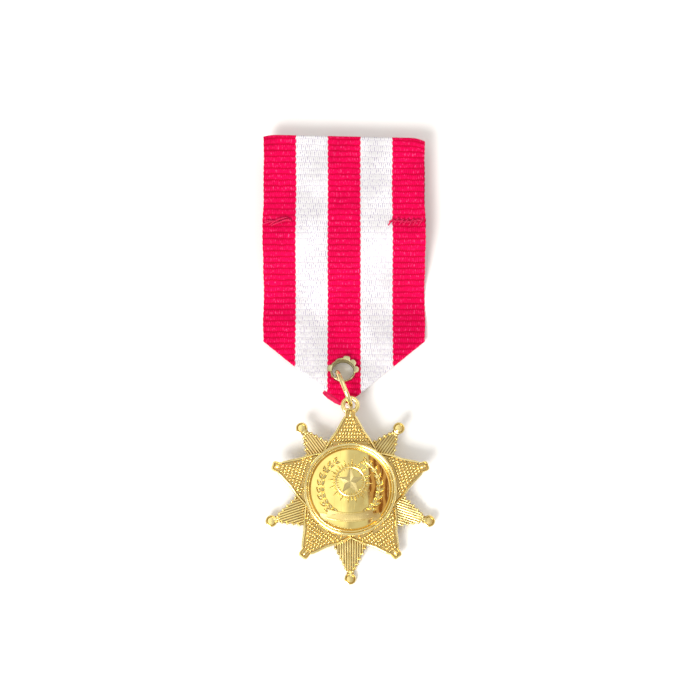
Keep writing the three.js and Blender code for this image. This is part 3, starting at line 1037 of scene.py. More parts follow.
    def curl(self) -> list[bpy.types.Object]:
        """The cut end of the middle stripe, rolled over along the left side of the point."""
        rng = np.random.default_rng(11)
        top = self.surface(np.array([-4.3]), np.array([self.apex - 3.1]), np.array([-0.1]))[0]
        foot = self.surface(np.array([-0.7]), np.array([self.apex - 0.35]), np.array([0.0]))[0]
        strands = []
        t = np.linspace(0, 1, 24)
        away = np.array([-0.62, -0.75, 0.0])
        for i in range(self.curl_strands):
            turn = 2 * math.pi * i / self.curl_strands
            start, stop = rng.uniform(0, 0.25), rng.uniform(0.8, 1.06)
            share = start + (stop - start) * t
            path = np.outer(1 - share, top) + np.outer(share, foot)
            roll = rng.uniform(0.3, 0.46) * np.sin(math.pi * np.clip(share * 0.9 + 0.08, 0, 1)) ** 0.5
            spin = turn + share * 1.4
            path += np.outer(0.28 + roll * np.cos(spin) + 0.14 * np.sin(7 * share + i * 1.7), away)
            path[:, 2] += roll * np.sin(spin) * 0.8
            strands.append(swept("strand", path, rng.uniform(0.07, 0.11), 6))
        return strands

    def fray(self) -> list[bpy.types.Object]:
        """Loose fibres at the cut point: the red ones in the middle, the white ones on either side."""
        rng = np.random.default_rng(5)
        made = []
        for name, colour, count, spread, clear in (("point_fray_red", Finish.RED_THREAD, 22, 1.6, 0.0),
                                                   ("point_fray_white", Finish.WHITE_THREAD, 10, 3.4, 1.2)):
            fibres = []
            for _ in range(count):
                across = rng.uniform(-spread, spread)
                across = math.copysign(abs(across) + clear, across)
                along = self.apex - 0.5 - abs(across) * (self.apex - self.shoulder) / (self.width / 2)
                base = self.surface(np.array([across]), np.array([along]), np.array([-0.1]))[0]
                heading = rng.normal(-math.pi / 2 - 0.25, 0.5)
                reach = rng.uniform(0.5, 1.3)
                curl = rng.normal(0, 0.9)
                steps = np.linspace(0, 1, 8)
                angle = heading + curl * steps
                way = np.stack([np.cos(angle) * steps, np.sin(angle) * steps, -0.12 * steps], 1)
                fibres.append(swept("fibre", base + way * reach, self.fibre, 6))
            if colour is Finish.RED_THREAD:
                fibres += self.curl()
            made.append(smooth(dress(joined(name, fibres), colour)))
        return made

    def build(self) -> None:
        """Make the ribbon and its frayed fibres, and fit them to the frame."""
        cloth = self.cloth()
        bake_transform(cloth)
        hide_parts("ribbon_sleeve", "ribbon_drop")
        self.length * MM
        LOG.info("ribbon: %d faces, cut %.0f by %.1f mm", len(cloth.data.polygons), self.width, self.length)
        for fibres in self.fray():
            fit(fibres, "drop", "ribbon" if "white" in fibres.name else "red_thread")


# ---------------------------------------------------------------- sewing
@dataclass
class Sewing:
    """The bar tacks through the ribbon and the lashings of the pin's plate. Millimetres."""

    strand: float = 0.2
    twist_pitch: float = 0.9
    dive: float = 0.22
    half_stitch: float = 0.62
    cover: float = 0.47
    lashing_strand: float = 0.16
    lashing_inset: float = 0.17

    def strand_along(self, path: np.ndarray, strand: float | None = None) -> bpy.types.Object:
        """One two-ply strand along a path.

        Args:
            path: Points of the strand.
            strand: Its half-thickness.

        Returns:
            The strand.
        """
        length = float(np.linalg.norm(np.diff(path, axis=0), axis=1).sum())
        return swept("strand", path, strand or self.strand, 10, 0.62, length / self.twist_pitch)

    def stitch(self, start: Vector, end: Vector, face: float, bow: float) -> bpy.types.Object:
        """One stitch that rises from the cloth and dives back into it.

        Args:
            start: Where it comes out.
            end: Where it goes in.
            face: 1 over the front, -1 over the back.
            bow: How far it stands off the cloth.

        Returns:
            The strand.
        """
        t = np.linspace(0, 1, 22)
        path = np.outer(1 - t, start) + np.outer(t, end)
        path[:, 2] += face * (bow * np.sin(math.pi * t) ** 0.5 - self.dive)
        return self.strand_along(path)

    def tack(self, name: str, slant: float, count: int, loose: float) -> bpy.types.Object:
        """A bar tack as slanted stitches on the front and on the back of the flap.

        Args:
            name: The tack's node.
            slant: How far each stitch leans across.
            count: Number of stitches.
            loose: How uneven the stitches are.

        Returns:
            The piece.
        """
        low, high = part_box(name)
        rng = np.random.default_rng(len(name))
        y = (low.y + high.y) / 2 / MM
        x0, x1 = low.x / MM, high.x / MM
        strands = []
        for face, z in ((1, high.z / MM - self.cover), (-1, low.z / MM + self.cover)):
            for i in range(count):
                x = x0 + (x1 - x0 - abs(slant)) * i / max(count - 1, 1) + rng.normal(0, loose * 0.3)
                start = Vector((x, y - self.half_stitch + rng.normal(0, loose * 0.35), z))
                end = Vector((x + slant, y + self.half_stitch + rng.normal(0, loose * 0.35), z))
                strands.append(self.stitch(start, end, face, 0.5 + abs(rng.normal(0, 0.1))))
            under = np.linspace((x0 + 0.1, y, z), (x1 - 0.1, y + 0.1, z), 40)
            under[:, 2] += face * 0.02
            under[:, 1] += 0.12 * np.sin(np.linspace(0, 9, 40))
            strands.append(self.strand_along(under, self.strand * 1.15))
        return joined(name + "_stitches", strands)

    def lashing(self, name: str) -> bpy.types.Object:
        """Three turns of thread round the plate's end and through the flap.

        Args:
            name: The lashing's node.

        Returns:
            The piece.
        """
        low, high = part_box(name)
        middle, half = (low + high) / 2 / MM, (high - low) / 2 / MM
        turns = []
        for i, offset in enumerate((-0.26, 0.0, 0.27)):
            angles = np.linspace(0, 2 * math.pi, 49)[:-1]
            c, s = np.cos(angles), np.sin(angles)
            x = np.sign(c) * np.abs(c) ** 0.5 * (half.x - self.lashing_inset)
            z = np.sign(s) * np.abs(s) ** 0.5 * (half.z - self.lashing_inset)
            y = offset + 0.1 * np.sin(angles + i)
            path = np.stack([middle.x + x, middle.y + y, middle.z + z], 1)
            turns.append(swept("turn", path, self.lashing_strand, 8, 0.7, 6.0, closed=True))
        return joined(name + "_turns", turns)

    def build(self) -> None:
        """Make all the threads and fit them."""
        threads = {
            "tack_left": self.tack("tack_left", slant=2.5, count=5, loose=0.9),
            "tack_right": self.tack("tack_right", slant=1.0, count=7, loose=0.4),
            "plate_thread_left": self.lashing("plate_thread_left"),
            "plate_thread_right": self.lashing("plate_thread_right"),
        }
        for node, piece in threads.items():
            fit(smooth(dress(piece, Finish.RED_THREAD), 60), "brooch", "red_thread", node)


# ---------------------------------------------------------------- eyelet and ring
def eyelet_place() -> Matrix:
    """The eyelet's own place: x across, y up the ribbon, z out of its front, in metres."""
    joint = JOINTS["ring_sway"]
    normal = Vector(joint["axis"]).normalized()
    across = Vector((1, 0, 0))
    up = normal.cross(across)
    turn = Matrix((across, up, normal)).transposed().to_4x4()
    crossing = Vector((-1.1, -0.75, -0.18)) * MM
    return Matrix.Translation(Vector(joint["pos_m"]) - turn.to_3x3() @ crossing) @ turn


@dataclass
class Suspension:
    """The eyelet, the jump ring and the soldered loop. Millimetres."""

    bore: float = 2.3
    petals: tuple[float, ...] = (2.0, 37.0, 74.0, 172.0)
    ring_long: float = 3.95
    ring_short: float = 3.3
    ring_wire: float = 0.48
    ring_lean: float = math.radians(22)
    loop_outer: float = 2.0
    loop_inner: float = 1.08
    loop_thick: float = 1.0
    loop_spot: tuple[float, float, float] = (0.0, 17.97, 0.2)
    solder_spot: tuple[float, float, float] = (0.0, 16.15, 1.22)

    def petal(self, angle: float) -> float:
        """How far the rolled rim is pushed out by its split petals.

        Args:
            angle: The angle round the rim.

        Returns:
            The distance, in millimetres.
        """
        widest = 0.0
        for centre in self.petals:
            off = abs((math.degrees(angle) - centre + 180) % 360 - 180)
            widest = max(widest, 0.6 * max(0.0, 1 - (off / 16) ** 4))
        return widest - 0.08 + 0.05 * math.sin(angle * 7 + 1) + 0.03 * math.sin(angle * 13)

    def eyelet(self) -> bpy.types.Object:
        """The eyelet: flange behind, barrel, and a rolled rim that has split into petals in front."""
        b = self.bore
        profile = [(b, -0.95), (b, 0.3), (b + 0.02, 0.78), (b + 0.1, 0.98), (b + 0.24, 1.06),
                   (b + 0.46, 0.98), (b + 0.54, 0.74), (b + 0.4, 0.5), (b + 0.2, 0.3), (b + 0.2, -0.66),
                   (b + 0.3, -0.78), (3.6, -0.8), (3.7, -0.87), (3.62, -0.95), (b + 0.1, -0.97), (b, -0.95)]
        piece = turned("eyelet_rim", profile, 108)
        for vertex in piece.data.vertices:
            radius = vertex.co.xy.length / MM
            share = min(max((radius - b - 0.2) / 0.25, 0.0), 1.0) if vertex.co.z > 0.4 * MM else 0.0
            out = 1 + share * self.petal(math.atan2(vertex.co.y, vertex.co.x)) / radius
            vertex.co.x, vertex.co.y = vertex.co.x * out, vertex.co.y * out
        # painted shade: darker down the barrel and on the flange behind
        mark(piece, "painted_shade", np.clip((0.7 - heights(piece)) * 0.8, 0, 0.85))
        piece.data.transform(eyelet_place())
        return dress(smooth(piece, 40), Finish.PALE_BRASS)

    def ring(self) -> bpy.types.Object:
        """The jump ring: an upright oval of round wire with a closed butt joint below."""
        low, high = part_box("jump_ring")
        middle = (low + high) / 2 / MM
        start, turn = math.radians(-88.9), math.radians(357.8)
        angles = start + np.linspace(0, 1, 150) * turn
        up, out = self.ring_long * np.cos(angles), self.ring_short * np.sin(angles)
        flat = np.stack([np.zeros(150), up, out], 1)
        path = flat @ np.array(Matrix.Rotation(self.ring_lean, 3, "Z")).T + np.array(middle)
        piece = swept("ring_wire", path, self.ring_wire, 28)
        return dress(smooth(piece, 50), Finish.BRIGHT_GOLD)

    def loop(self) -> list[bpy.types.Object]:
        """The flat ring behind the top ray, and the solder that holds it."""
        thick = self.loop_thick
        middle, half = (self.loop_outer + self.loop_inner) / 2, (self.loop_outer - self.loop_inner) / 2
        profile = []
        for a in np.linspace(0, 2 * math.pi, 21):
            c, s = math.cos(a), math.sin(a)
            bulge_r = math.copysign(abs(c) ** 0.75, c) * half
            bulge_z = math.copysign(abs(s) ** 0.75, s) * thick / 2
            profile.append((middle + bulge_r, thick / 2 + bulge_z))
        ring = turned("loop_ring", profile, 56)
        ring.data.transform(at(*self.loop_spot))
        solder = ball("loop_solder", 1.0, 24, 14)
        for vertex in solder.data.vertices:
            x, y, z = vertex.co / MM
            lump = 1 + 0.1 * wander(x, y, z, 0.8)
            vertex.co = Vector((x * 0.95 * lump, y * 0.8 * lump, z * 0.42)) * MM
        solder.data.transform(at(*self.solder_spot))
        for piece in (ring, solder):
            piece.data.transform(Star.place())
        return [dress(smooth(ring, 50), Finish.STAR_GOLD), dress(smooth(solder, 60), Finish.STAR_GOLD)]

    def build(self) -> None:
        """Make the hanging pieces and fit them."""
        fit(self.eyelet(), "drop", "pale_brass", "eyelet")
        fit(self.ring(), "ring", "gold", "jump_ring")
        ring, solder = self.loop()
        fit(ring, "star", "gold", "suspension_loop")
        fit(solder, "star", "gold")


# ---------------------------------------------------------------- star
@dataclass
class Star:
    """The two-layer star with its rim, disc and rivets. Sizes are in its own plane, in millimetres."""

    rays: int = 5
    rear_drop: float = -1.0
    ball_reach: float = 17.45
    bead_reach: float = 16.05
    rivet_x: float = 6.9
    rod_pitch: float = 0.54
    bezel_y: float = 0.28
    disc_z: float = 3.3
    dish: float = 62.0
    pearl: float = 0.31
    pearl_pitch: float = 0.6
    row_pitch: float = 0.74

    @staticmethod
    def place() -> Matrix:
        """The star's own place, from its disc's box and its joint's axis, in metres."""
        low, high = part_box("centre_disc")
        normal = Vector(JOINTS["star_swing"]["axis"])
        tilt = math.atan2(-normal.y, normal.z)
        turn = Matrix.Rotation(tilt, 4, "X")
        return Matrix.Translation((low + high) / 2) @ turn @ at(0, -0.28, -3.0)

    @staticmethod
    def side_curve(points: Sequence[tuple[float, float]], count: int) -> np.ndarray:
        """A smooth half outline of a ray.

        Args:
            points: Distance and half-width pairs, from the base outwards.
            count: Number of points wanted.

        Returns:
            Distance and half-width pairs.
        """
        p = np.array(points, float)
        reach = np.concatenate([[0], np.cumsum(np.linalg.norm(np.diff(p, axis=0), axis=1))])
        t = np.linspace(0, reach[-1], count)
        knots = np.sort(np.concatenate([t, reach[1:-1]]))
        curve = np.stack([np.interp(knots, reach, p[:, k]) for k in (0, 1)], 1)
        eased = curve.copy()
        eased[1:-1] = (curve[:-2] + 2 * curve[1:-1] + curve[2:]) / 4
        return eased

    def outline(self, first: float, valley: float, side: np.ndarray, rough: float) -> np.ndarray:
        """A whole star outline from one ray's half outline.

        Args:
            first: Angle of the first ray.
            valley: Radius between the rays.
            side: Distance and half-width pairs, from the base outwards.
            rough: How uneven the cast edge is.

        Returns:
            Points in the plane, the first one repeated at the end.
        """
        points = []
        for i in range(self.rays):
            angle = first + i * 2 * math.pi / self.rays
            between = angle - math.pi / self.rays
            points.append(on_ray(between, valley))
            for pairs, sign in ((side, -1), (side[::-1], 1)):
                for along, across in pairs:
                    x, y = on_ray(angle, along, sign * across)
                    grow = 1 + rough * wander(x, y, valley, 1.1) / max(along, 1)
                    points.append((x * grow, y * grow))
        points.append(points[0])
        return np.array(points)

    def broad_side(self, inset: float) -> np.ndarray:
        """Half outline of a broad front ray.

        Args:
            inset: How far it is moved in from the ray's edge.

        Returns:
            Distance and half-width pairs.
        """
        pairs = [(10.4 - inset * 0.4, 4.6 - inset * 1.1), (12.5 - inset * 0.6, 3.1 - inset * 1.1),
                 (14.4 - inset * 0.7, 2.05 - inset * 0.95), (15.35 - inset * 0.8, 1.5 - inset * 0.85),
                 (15.75 - inset * 0.8, 1.08 - inset * 0.62), (16.7 - inset * 0.7, 1.08 - inset * 0.62),
                 (17.1 - inset * 0.9, 0.95 - inset * 0.55), (17.28 - inset * 1.0, 0.62 - inset * 0.3)]
        return self.side_curve(pairs, 26)

    def layered(self, name: str, layers: Sequence[tuple[np.ndarray, float]]) -> bpy.types.Object:
        """A flat star face, extruded up from layer to layer and drawn to each layer's outline.

        Args:
            name: The piece's name.
            layers: Outline and height pairs from the bottom up.

        Returns:
            The shell.
        """
        put_down_all()
        bpy.ops.mesh.primitive_circle_add(vertices=len(layers[0][0]) - 1, radius=MM, fill_type="NGON")
        shell = named(name)
        plan = np.column_stack([layers[0][0][:-1], np.full(len(layers[0][0]) - 1, layers[0][1])]) * MM
        shell.data.vertices.foreach_set("co", plan.reshape(-1).astype(np.float32))
        for outline, height in layers[1:]:
            with editing(shell, None):
                bpy.ops.mesh.extrude_region_move()
            drawn = np.column_stack([outline[:-1], np.full(len(outline) - 1, height)]) * MM
            for vertex in shell.data.vertices:
                if vertex.select:
                    nearest = np.argmin(((plan - np.array(vertex.co)) ** 2).sum(1))
                    vertex.co = drawn[nearest]
            plan = drawn
        return tidy_shell(shell)

    def pearl_places(self) -> list[Matrix]:
        """Where the pearls of the front star stand: straight rows across each ray."""
        inner = self.broad_side(0.5)
        places = []
        for ray in range(self.rays):
            angle = math.pi / 2 + ray * 2 * math.pi / self.rays
            for row in range(10):
                along = 8.35 + row * self.row_pitch
                widening = inner[0, 1] + (inner[0, 0] - along) * 0.7
                room = float(np.interp(along, inner[:, 0], inner[:, 1], left=widening))
                count = int((room - 0.05) * 2 / self.pearl_pitch)
                for k in range(count):
                    x, y = on_ray(angle, along, (k - (count - 1) / 2) * self.pearl_pitch)
                    if along > 15.2 or math.hypot(x, y - self.bezel_y) < 10.12:
                        continue
                    size = 1 + 0.1 * wander(x, y, 2.0, 0.7)
                    places.append(at(x, y, 2.2, angle, size))
        return places

    def pearls(self) -> list[bpy.types.Object]:
        """The field of small domes."""
        master = ball("pearl", self.pearl, 12, 8, (1.16, 0.94, 1.15))
        with editing(master):
            bpy.ops.mesh.bisect(plane_co=(0, 0, -0.06 * MM), plane_no=(0, 0, 1), clear_inner=True)
        return copies(master, self.pearl_places())

    def front(self) -> bpy.types.Object:
        """The front star: raised border, sunken pearled field and a bead in each tip."""
        first = math.pi / 2

        def layer(inset: float, valley: float, height: float) -> tuple[np.ndarray, float]:
            """An outline moved in from the edge, and its height."""
            return self.outline(first, valley, self.broad_side(inset), 0.05), height

        plate = self.layered("front_star", [
            layer(0.1, 9.75, 1.5), layer(0.0, 9.9, 1.6), layer(0.0, 9.9, 2.36), layer(0.06, 9.86, 2.52),
            layer(0.16, 9.78, 2.61), layer(0.3, 9.68, 2.62), layer(0.42, 9.58, 2.52), layer(0.47, 9.5, 2.26),
            layer(0.52, 9.4, 2.18)])
        beads = []
        for i in range(self.rays):
            angle = first + i * 2 * math.pi / self.rays
            bead = ball("tip_bead", 0.4, 20, 12, (1.9, 0.95, 0.95))
            bead.data.transform(at(*on_ray(angle, self.bead_reach), 2.3, angle))
            beads.append(bead)
        collar = turned("collar", [(0, 2.1), (9.3, 2.1), (9.3, 2.62), (0, 2.62)], 72)
        whole = joined("front_star", [plate, collar, *self.pearls(), *beads])
        # painted shade: the sunken field between the pearls darker than the border and the pearls
        mark(whole, "painted_shade", np.clip((2.4 - heights(whole)) / 0.22, 0, 1) * 0.6)
        return whole

    def rods(self, angle: float) -> list[bpy.types.Object]:
        """The parallel rods of one narrow ray, each ending in a small bead.

        Args:
            angle: The ray's angle.

        Returns:
            The rods.
        """
        ends = (16.0, 15.9, 15.35, 14.4, 13.3, 12.2, 11.1)
        made = []
        for k in range(-6, 7):
            across = k * self.rod_pitch
            end = ends[abs(k)] + 0.1 * wander(k, angle, 0, 0.6)
            t = np.linspace(7.6, end, 10)
            lean = across * (1 - 0.012 * (t - 7.6))
            path = np.stack([t, lean, 0.93 - 0.02 * abs(k) + 0.03 * np.sin(t + k)], 1)
            made.append(swept("rod", path, 0.25, 8))
            bead = ball("rod_end", 0.32, 12, 8)
            bead.data.transform(at(end, float(lean[-1]), 1.0))
            made.append(bead)
        for piece in made:
            piece.data.transform(Matrix.Rotation(angle, 4, "Z"))
        return made

    def rear(self) -> bpy.types.Object:
        """The rear star: narrow rays of rods on a plate, each with a ringed ball at its tip."""
        first = math.pi / 2 + math.pi / self.rays
        pairs = [(9.6, 3.6), (10.9, 3.05), (12.4, 2.35), (14.2, 1.6), (15.6, 1.05), (15.9, 0.72),
                 (16.9, 0.8)]

        def layer(inset: float, valley: float, height: float) -> tuple[np.ndarray, float]:
            """An outline moved in from the edge, and its height."""
            side = self.side_curve([(a, b - inset) for a, b in pairs], 16)
            return self.outline(first, valley, side, 0.06), height

        parts = [self.layered("rear_star", [layer(0.12, 7.3, 0.0), layer(0.0, 7.4, 0.12),
                                            layer(0.0, 7.4, 0.75), layer(0.1, 7.3, 0.88)])]
        dome = [(0, 0), (1.1, 0), (1.22, 0.12), (1.26, 0.5), (1.24, 0.92), (1.15, 1.08), (1.04, 1.12),
                (0.96, 1.05), (0.92, 0.9), (0.87, 0.9), (0.83, 1.04), (0.74, 1.12), (0.4, 1.145), (0, 1.15)]
        for i in range(self.rays):
            angle = first + i * 2 * math.pi / self.rays
            parts += self.rods(angle)
            knob = turned("ball", dome, 40)
            knob.data.transform(at(*on_ray(angle, self.ball_reach), 0))
            reach = np.linspace(15.7, 16.9, 8)
            flare = 0.56 + 0.22 * np.abs(np.linspace(-1, 1, 8)) ** 1.5
            neck = np.stack([reach, np.zeros(8), np.full(8, 0.62)], 1)
            collar = swept("neck", neck, flare, 18, 0.8)
            collar.data.transform(Matrix.Rotation(angle, 4, "Z"))
            parts += [knob, collar]
        parts.append(turned("hub", [(0, 0.8), (7.2, 0.8), (7.2, 1.56), (0, 1.56)], 64))
        boss = [(0, -0.5), (5.3, -0.5), (5.47, -0.44), (5.5, -0.3), (5.5, 0.05), (0, 0.05)]
        parts.append(turned("boss", boss, 72))
        whole = joined("rear_star", parts)
        whole.data.transform(at(0, self.rear_drop, 0))
        z = heights(whole)
        # painted shade: darker low between the rods, lighter towards the rod and ball tops; the underside a
        # little darker
        mark(whole, "painted_shade", np.where(z > 0.5, np.clip((1.1 - z) / 0.2, 0, 1) * 0.9, 0.15))
        return whole

    def bezel(self) -> bpy.types.Object:
        """The bright rim: a half-round bead, a thin groove and a fine inner lip."""
        bead = [(9.75, 2.6), (9.8, 2.7), (9.8, 3.25), (9.77, 3.5), (9.68, 3.74), (9.54, 3.91),
                (9.38, 3.97), (9.2, 3.93), (9.09, 3.8), (9.04, 3.62)]
        lip = [(9.0, 3.55), (8.95, 3.6), (8.88, 3.68), (8.78, 3.69), (8.71, 3.63), (8.66, 3.5), (8.64, 2.6)]
        piece = turned("bezel_rim", [(8.64, 2.6), *bead, *lip], 128)
        # painted shade: the thin groove darker
        mark(piece, "painted_shade", np.clip(1 - np.abs(radii(piece) - 9.02) / 0.07, 0, 1) * 0.9)
        piece.data.transform(at(0, self.bezel_y, 0))
        return piece

    def disc(self) -> bpy.types.Object:
        """The polished disc, very slightly domed."""
        moat = [(8.64, 2.66), (8.58, 2.64), (8.5, 2.7)]
        dome = [(float(r), self.disc_z - r * r / (2 * self.dish)) for r in np.linspace(8.44, 0, 26)]
        piece = turned("disc_mirror", [(0, 2.5), (8.64, 2.5), *moat, *dome], 96)
        # painted shade: a dark band round the disc's outer edge, by the rim
        mark(piece, "painted_shade", np.clip((radii(piece) - 8.1) / 0.3, 0, 1))
        piece.data.transform(at(0, self.bezel_y, 0))
        return piece

    def rivet(self, side: int) -> bpy.types.Object:
        """A lug's head behind the rear star.

        Args:
            side: -1 for the left one, 1 for the right.

        Returns:
            The piece.
        """
        profile = [(0, -0.72), (0.55, -0.68), (0.95, -0.55), (1.16, -0.34), (1.2, -0.1), (1.14, 0.02),
                   (0.5, 0.02), (0.5, 2.2), (0, 2.2)]
        piece = turned("rivet", profile, 32)
        # painted shade: the head darker towards the star, the shank dark
        mark(piece, "painted_shade", np.clip(heights(piece) + 0.2, 0, 0.6))
        piece.data.transform(at(side * self.rivet_x, self.rear_drop, 0))
        return piece

    def build(self) -> None:
        """Make the star's layers, rim, disc and rivets, and fit them."""
        gold, bright, mirror = Finish.STAR_GOLD, Finish.BRIGHT_GOLD, Finish.MIRROR_GOLD
        pieces = [
            (self.rear(), gold, "gold", "ribbed_star", 35),
            (self.front(), gold, "gold", "pebbled_star", 35),
            (self.bezel(), bright, "gold", "bezel_ring", 50),
            (self.disc(), mirror, "mirror_gold", "centre_disc", 40),
            (self.rivet(-1), gold, "gold", "rivet_left", 45),
            (self.rivet(1), gold, "gold", "rivet_right", 45),
        ]
        for piece, finish, slot, node, angle in pieces:
            if node.startswith("rivet"):
                piece.name = node + "_head"
            piece.data.transform(self.place())
            fit(smooth(dress(piece, finish), angle), "star", slot, node)


# ---------------------------------------------------------------- emblem
@dataclass(frozen=True)
class Band:
    """One length of the scroll: from and to as shares of its half span, then sizes in millimetres."""

    start: float
    stop: float
    bow: float
    lift: float
    half: float
    span: float
    drop: float


@dataclass
class Emblem:
    """A plain relief on the disc: a faceted star before a fan of rays, in a wreath over a blank scroll."""

    star: Star
    centre_y: float = 1.9
    star_radius: float = 2.9
    wreath_radius: float = 6.15
    wreath_y: float = 0.7
    leaves: int = 10
    fan_rays: int = 32
    fan_start: float = 2.3
    halo_radius: float = 3.0
    scroll_y: float = -5.35

    def ground(self, x: float, y: float) -> float:
        """Height of the domed disc under a place."""
        r2 = x * x + (y - self.star.bezel_y) ** 2
        return self.star.disc_z - r2 / (2 * self.star.dish)

    def facets(self, points: int, outer: float, inner: float, rise: float, turn: float) -> bpy.types.Object:
        """A star of flat facets that meet in a peak.

        Args:
            points: Number of points.
            outer: Radius of the points.
            inner: Radius between them.
            rise: Height of the peak.
            turn: Angle of the first point.

        Returns:
            The shape, its base a little under zero.
        """
        put_down_all()
        wall = 0.12
        bpy.ops.mesh.primitive_circle_add(vertices=points * 2, radius=outer * MM, fill_type="NGON")
        shape = named("facets")
        for i, vertex in enumerate(shape.data.vertices):
            radius = outer if i % 2 == 0 else inner
            angle = turn + i * math.pi / points
            vertex.co = Vector((radius * math.cos(angle), radius * math.sin(angle), 0)) * MM
        with editing(shape):
            bpy.ops.mesh.extrude_region_move(TRANSFORM_OT_translate={"value": (0, 0, wall * MM)})
            bpy.ops.mesh.poke(offset=rise * MM)
            bpy.ops.mesh.select_all(action="SELECT")
            bpy.ops.mesh.normals_make_consistent(inside=False)
        # painted shade: the foot of each faceted shape darker
        mark(shape, "painted_shade", np.where(heights(shape) < wall + 0.01, 0.3, 0.0))
        return shape

    def leaf(self) -> bpy.types.Object:
        """One pointed leaf with a raised midrib, lying along X from its stalk."""
        t = np.linspace(0, 1, 9)
        half = 0.5 * np.sin(math.pi * t ** 0.85) ** 0.9
        across = np.linspace(-1, 1, 7)
        rows = np.zeros((9, 7, 3))
        rows[:, :, 0] = (t * 1.95)[:, None]
        rows[:, :, 1] = half[:, None] * across[None, :]
        dome = (1 - np.abs(across) ** 1.6)[None, :] * (0.16 + 0.62 * half)[:, None]
        rows[:, :, 2] = dome - 0.05
        leaf = thickened("leaf", rows, 0.14, WELD)
        # painted shade: the leaf darker at its edges and underneath
        mark(leaf, "painted_shade", np.clip((0.1 - heights(leaf)) / 0.12, 0, 1) * 0.9)
        return leaf

    def wreath(self) -> list[bpy.types.Object]:
        """Two branches of paired leaves that rise on either side."""
        places = []
        for side in (-1, 1):
            for i in range(self.leaves):
                share = i / (self.leaves - 1)
                angle = math.radians(-66 + 122 * share)
                x = side * self.wreath_radius * math.cos(angle)
                y = self.wreath_radius * math.sin(angle) + self.wreath_y
                heading = angle + math.pi / 2 if side > 0 else math.pi / 2 - angle
                for splay in (-0.5, 0.5):
                    scale = 1.0 - 0.25 * share
                    turn = heading + splay * (1 if side > 0 else -1)
                    places.append(at(x, y, self.ground(x, y), turn, scale))
        stems = []
        for side in (-1, 1):
            angles = np.radians(np.linspace(-74, 58, 30))
            xs = side * self.wreath_radius * np.cos(angles)
            ys = self.wreath_radius * np.sin(angles) + self.wreath_y
            zs = np.array([self.ground(x, y) for x, y in zip(xs, ys)])
            stems.append(swept("stem", np.stack([xs, ys, zs], 1), 0.15, 8))
        return copies(self.leaf(), places) + stems

    def fan(self) -> list[bpy.types.Object]:
        """Fine rays between the star's points, long and short in turn."""
        made = []
        for i in range(self.fan_rays):
            angle = 2 * math.pi * (i + 0.5) / self.fan_rays
            reach = 4.75 if i % 2 else 4.1
            mid = (self.fan_start + reach) / 2
            shape = self.facets(2, (reach - self.fan_start) / 2, 0.25, 0.24, 0.0)
            x, y = mid * math.cos(angle), mid * math.sin(angle) + self.centre_y
            shape.data.transform(at(x, y, self.ground(x, y) - 0.06, angle))
            made.append(shape)
        return made

    def scroll(self) -> list[bpy.types.Object]:
        """A blank scroll across the foot of the wreath, its ends folded back."""
        made = []
        across = (-1.0, -0.93, -0.78, -0.7, 0.7, 0.78, 0.93, 1.0)
        edge = 0.2
        raised = (0.0, edge, edge, 0.0, 0.0, edge, edge, 0.0)
        for band in (Band(-1, 1, 0.55, 0.42, 0.95, 4.8, 0.0), Band(-1, -0.7, 0.5, 0.2, 0.8, 6.4, -0.55),
                     Band(0.7, 1, 0.5, 0.2, 0.8, 6.4, -0.55)):
            rows = np.zeros((33, len(across), 3))
            for i, share in enumerate(np.linspace(band.start, band.stop, len(rows))):
                y = self.scroll_y + band.drop - band.bow * math.cos(share * math.pi / 2) * 1.5 + 0.55
                lean = band.bow * math.sin(share * math.pi / 2) * 1.5 * (math.pi / 2) / band.span
                for j, (b, h) in enumerate(zip(across, raised)):
                    px, py = band.span * share - b * band.half * lean, y + b * band.half
                    rows[i, j] = (px, py, self.ground(px, py) + band.lift + h)
            piece = thickened("band", rows, band.lift + 0.1, FINE_WELD)
            # painted shade: the band's flat middle and sides darker than its raised edges
            tall = [v.co.z / MM - self.ground(v.co.x / MM, v.co.y / MM) for v in piece.data.vertices]
            mark(piece, "painted_shade", np.clip((band.lift + edge - np.array(tall)) / edge, 0, 1) * 0.3)
            made.append(piece)
        return made

    def build(self) -> None:
        """Make the relief and fit it on the disc."""
        peak = self.facets(5, self.star_radius, self.star_radius * 0.42, 0.6, math.pi / 2)
        peak.data.transform(at(0, self.centre_y, self.ground(0, self.centre_y) - 0.02))
        round_it = np.linspace(0, 2 * math.pi, 73)[:-1]
        xs, ys = self.halo_radius * np.cos(round_it), self.halo_radius * np.sin(round_it) + self.centre_y
        circle = np.stack([xs, ys, np.full(72, self.star.disc_z + 0.05)], 1)
        halo = swept("halo", circle, 0.17, 10, closed=True)
        parts = [peak, halo, *self.fan(), *self.wreath(), *self.scroll()]
        relief = joined("disc_relief", parts)
        relief.data.transform(self.star.place())
        fit(smooth(dress(relief, Finish.STAR_GOLD), 28), "star", "mirror_gold")


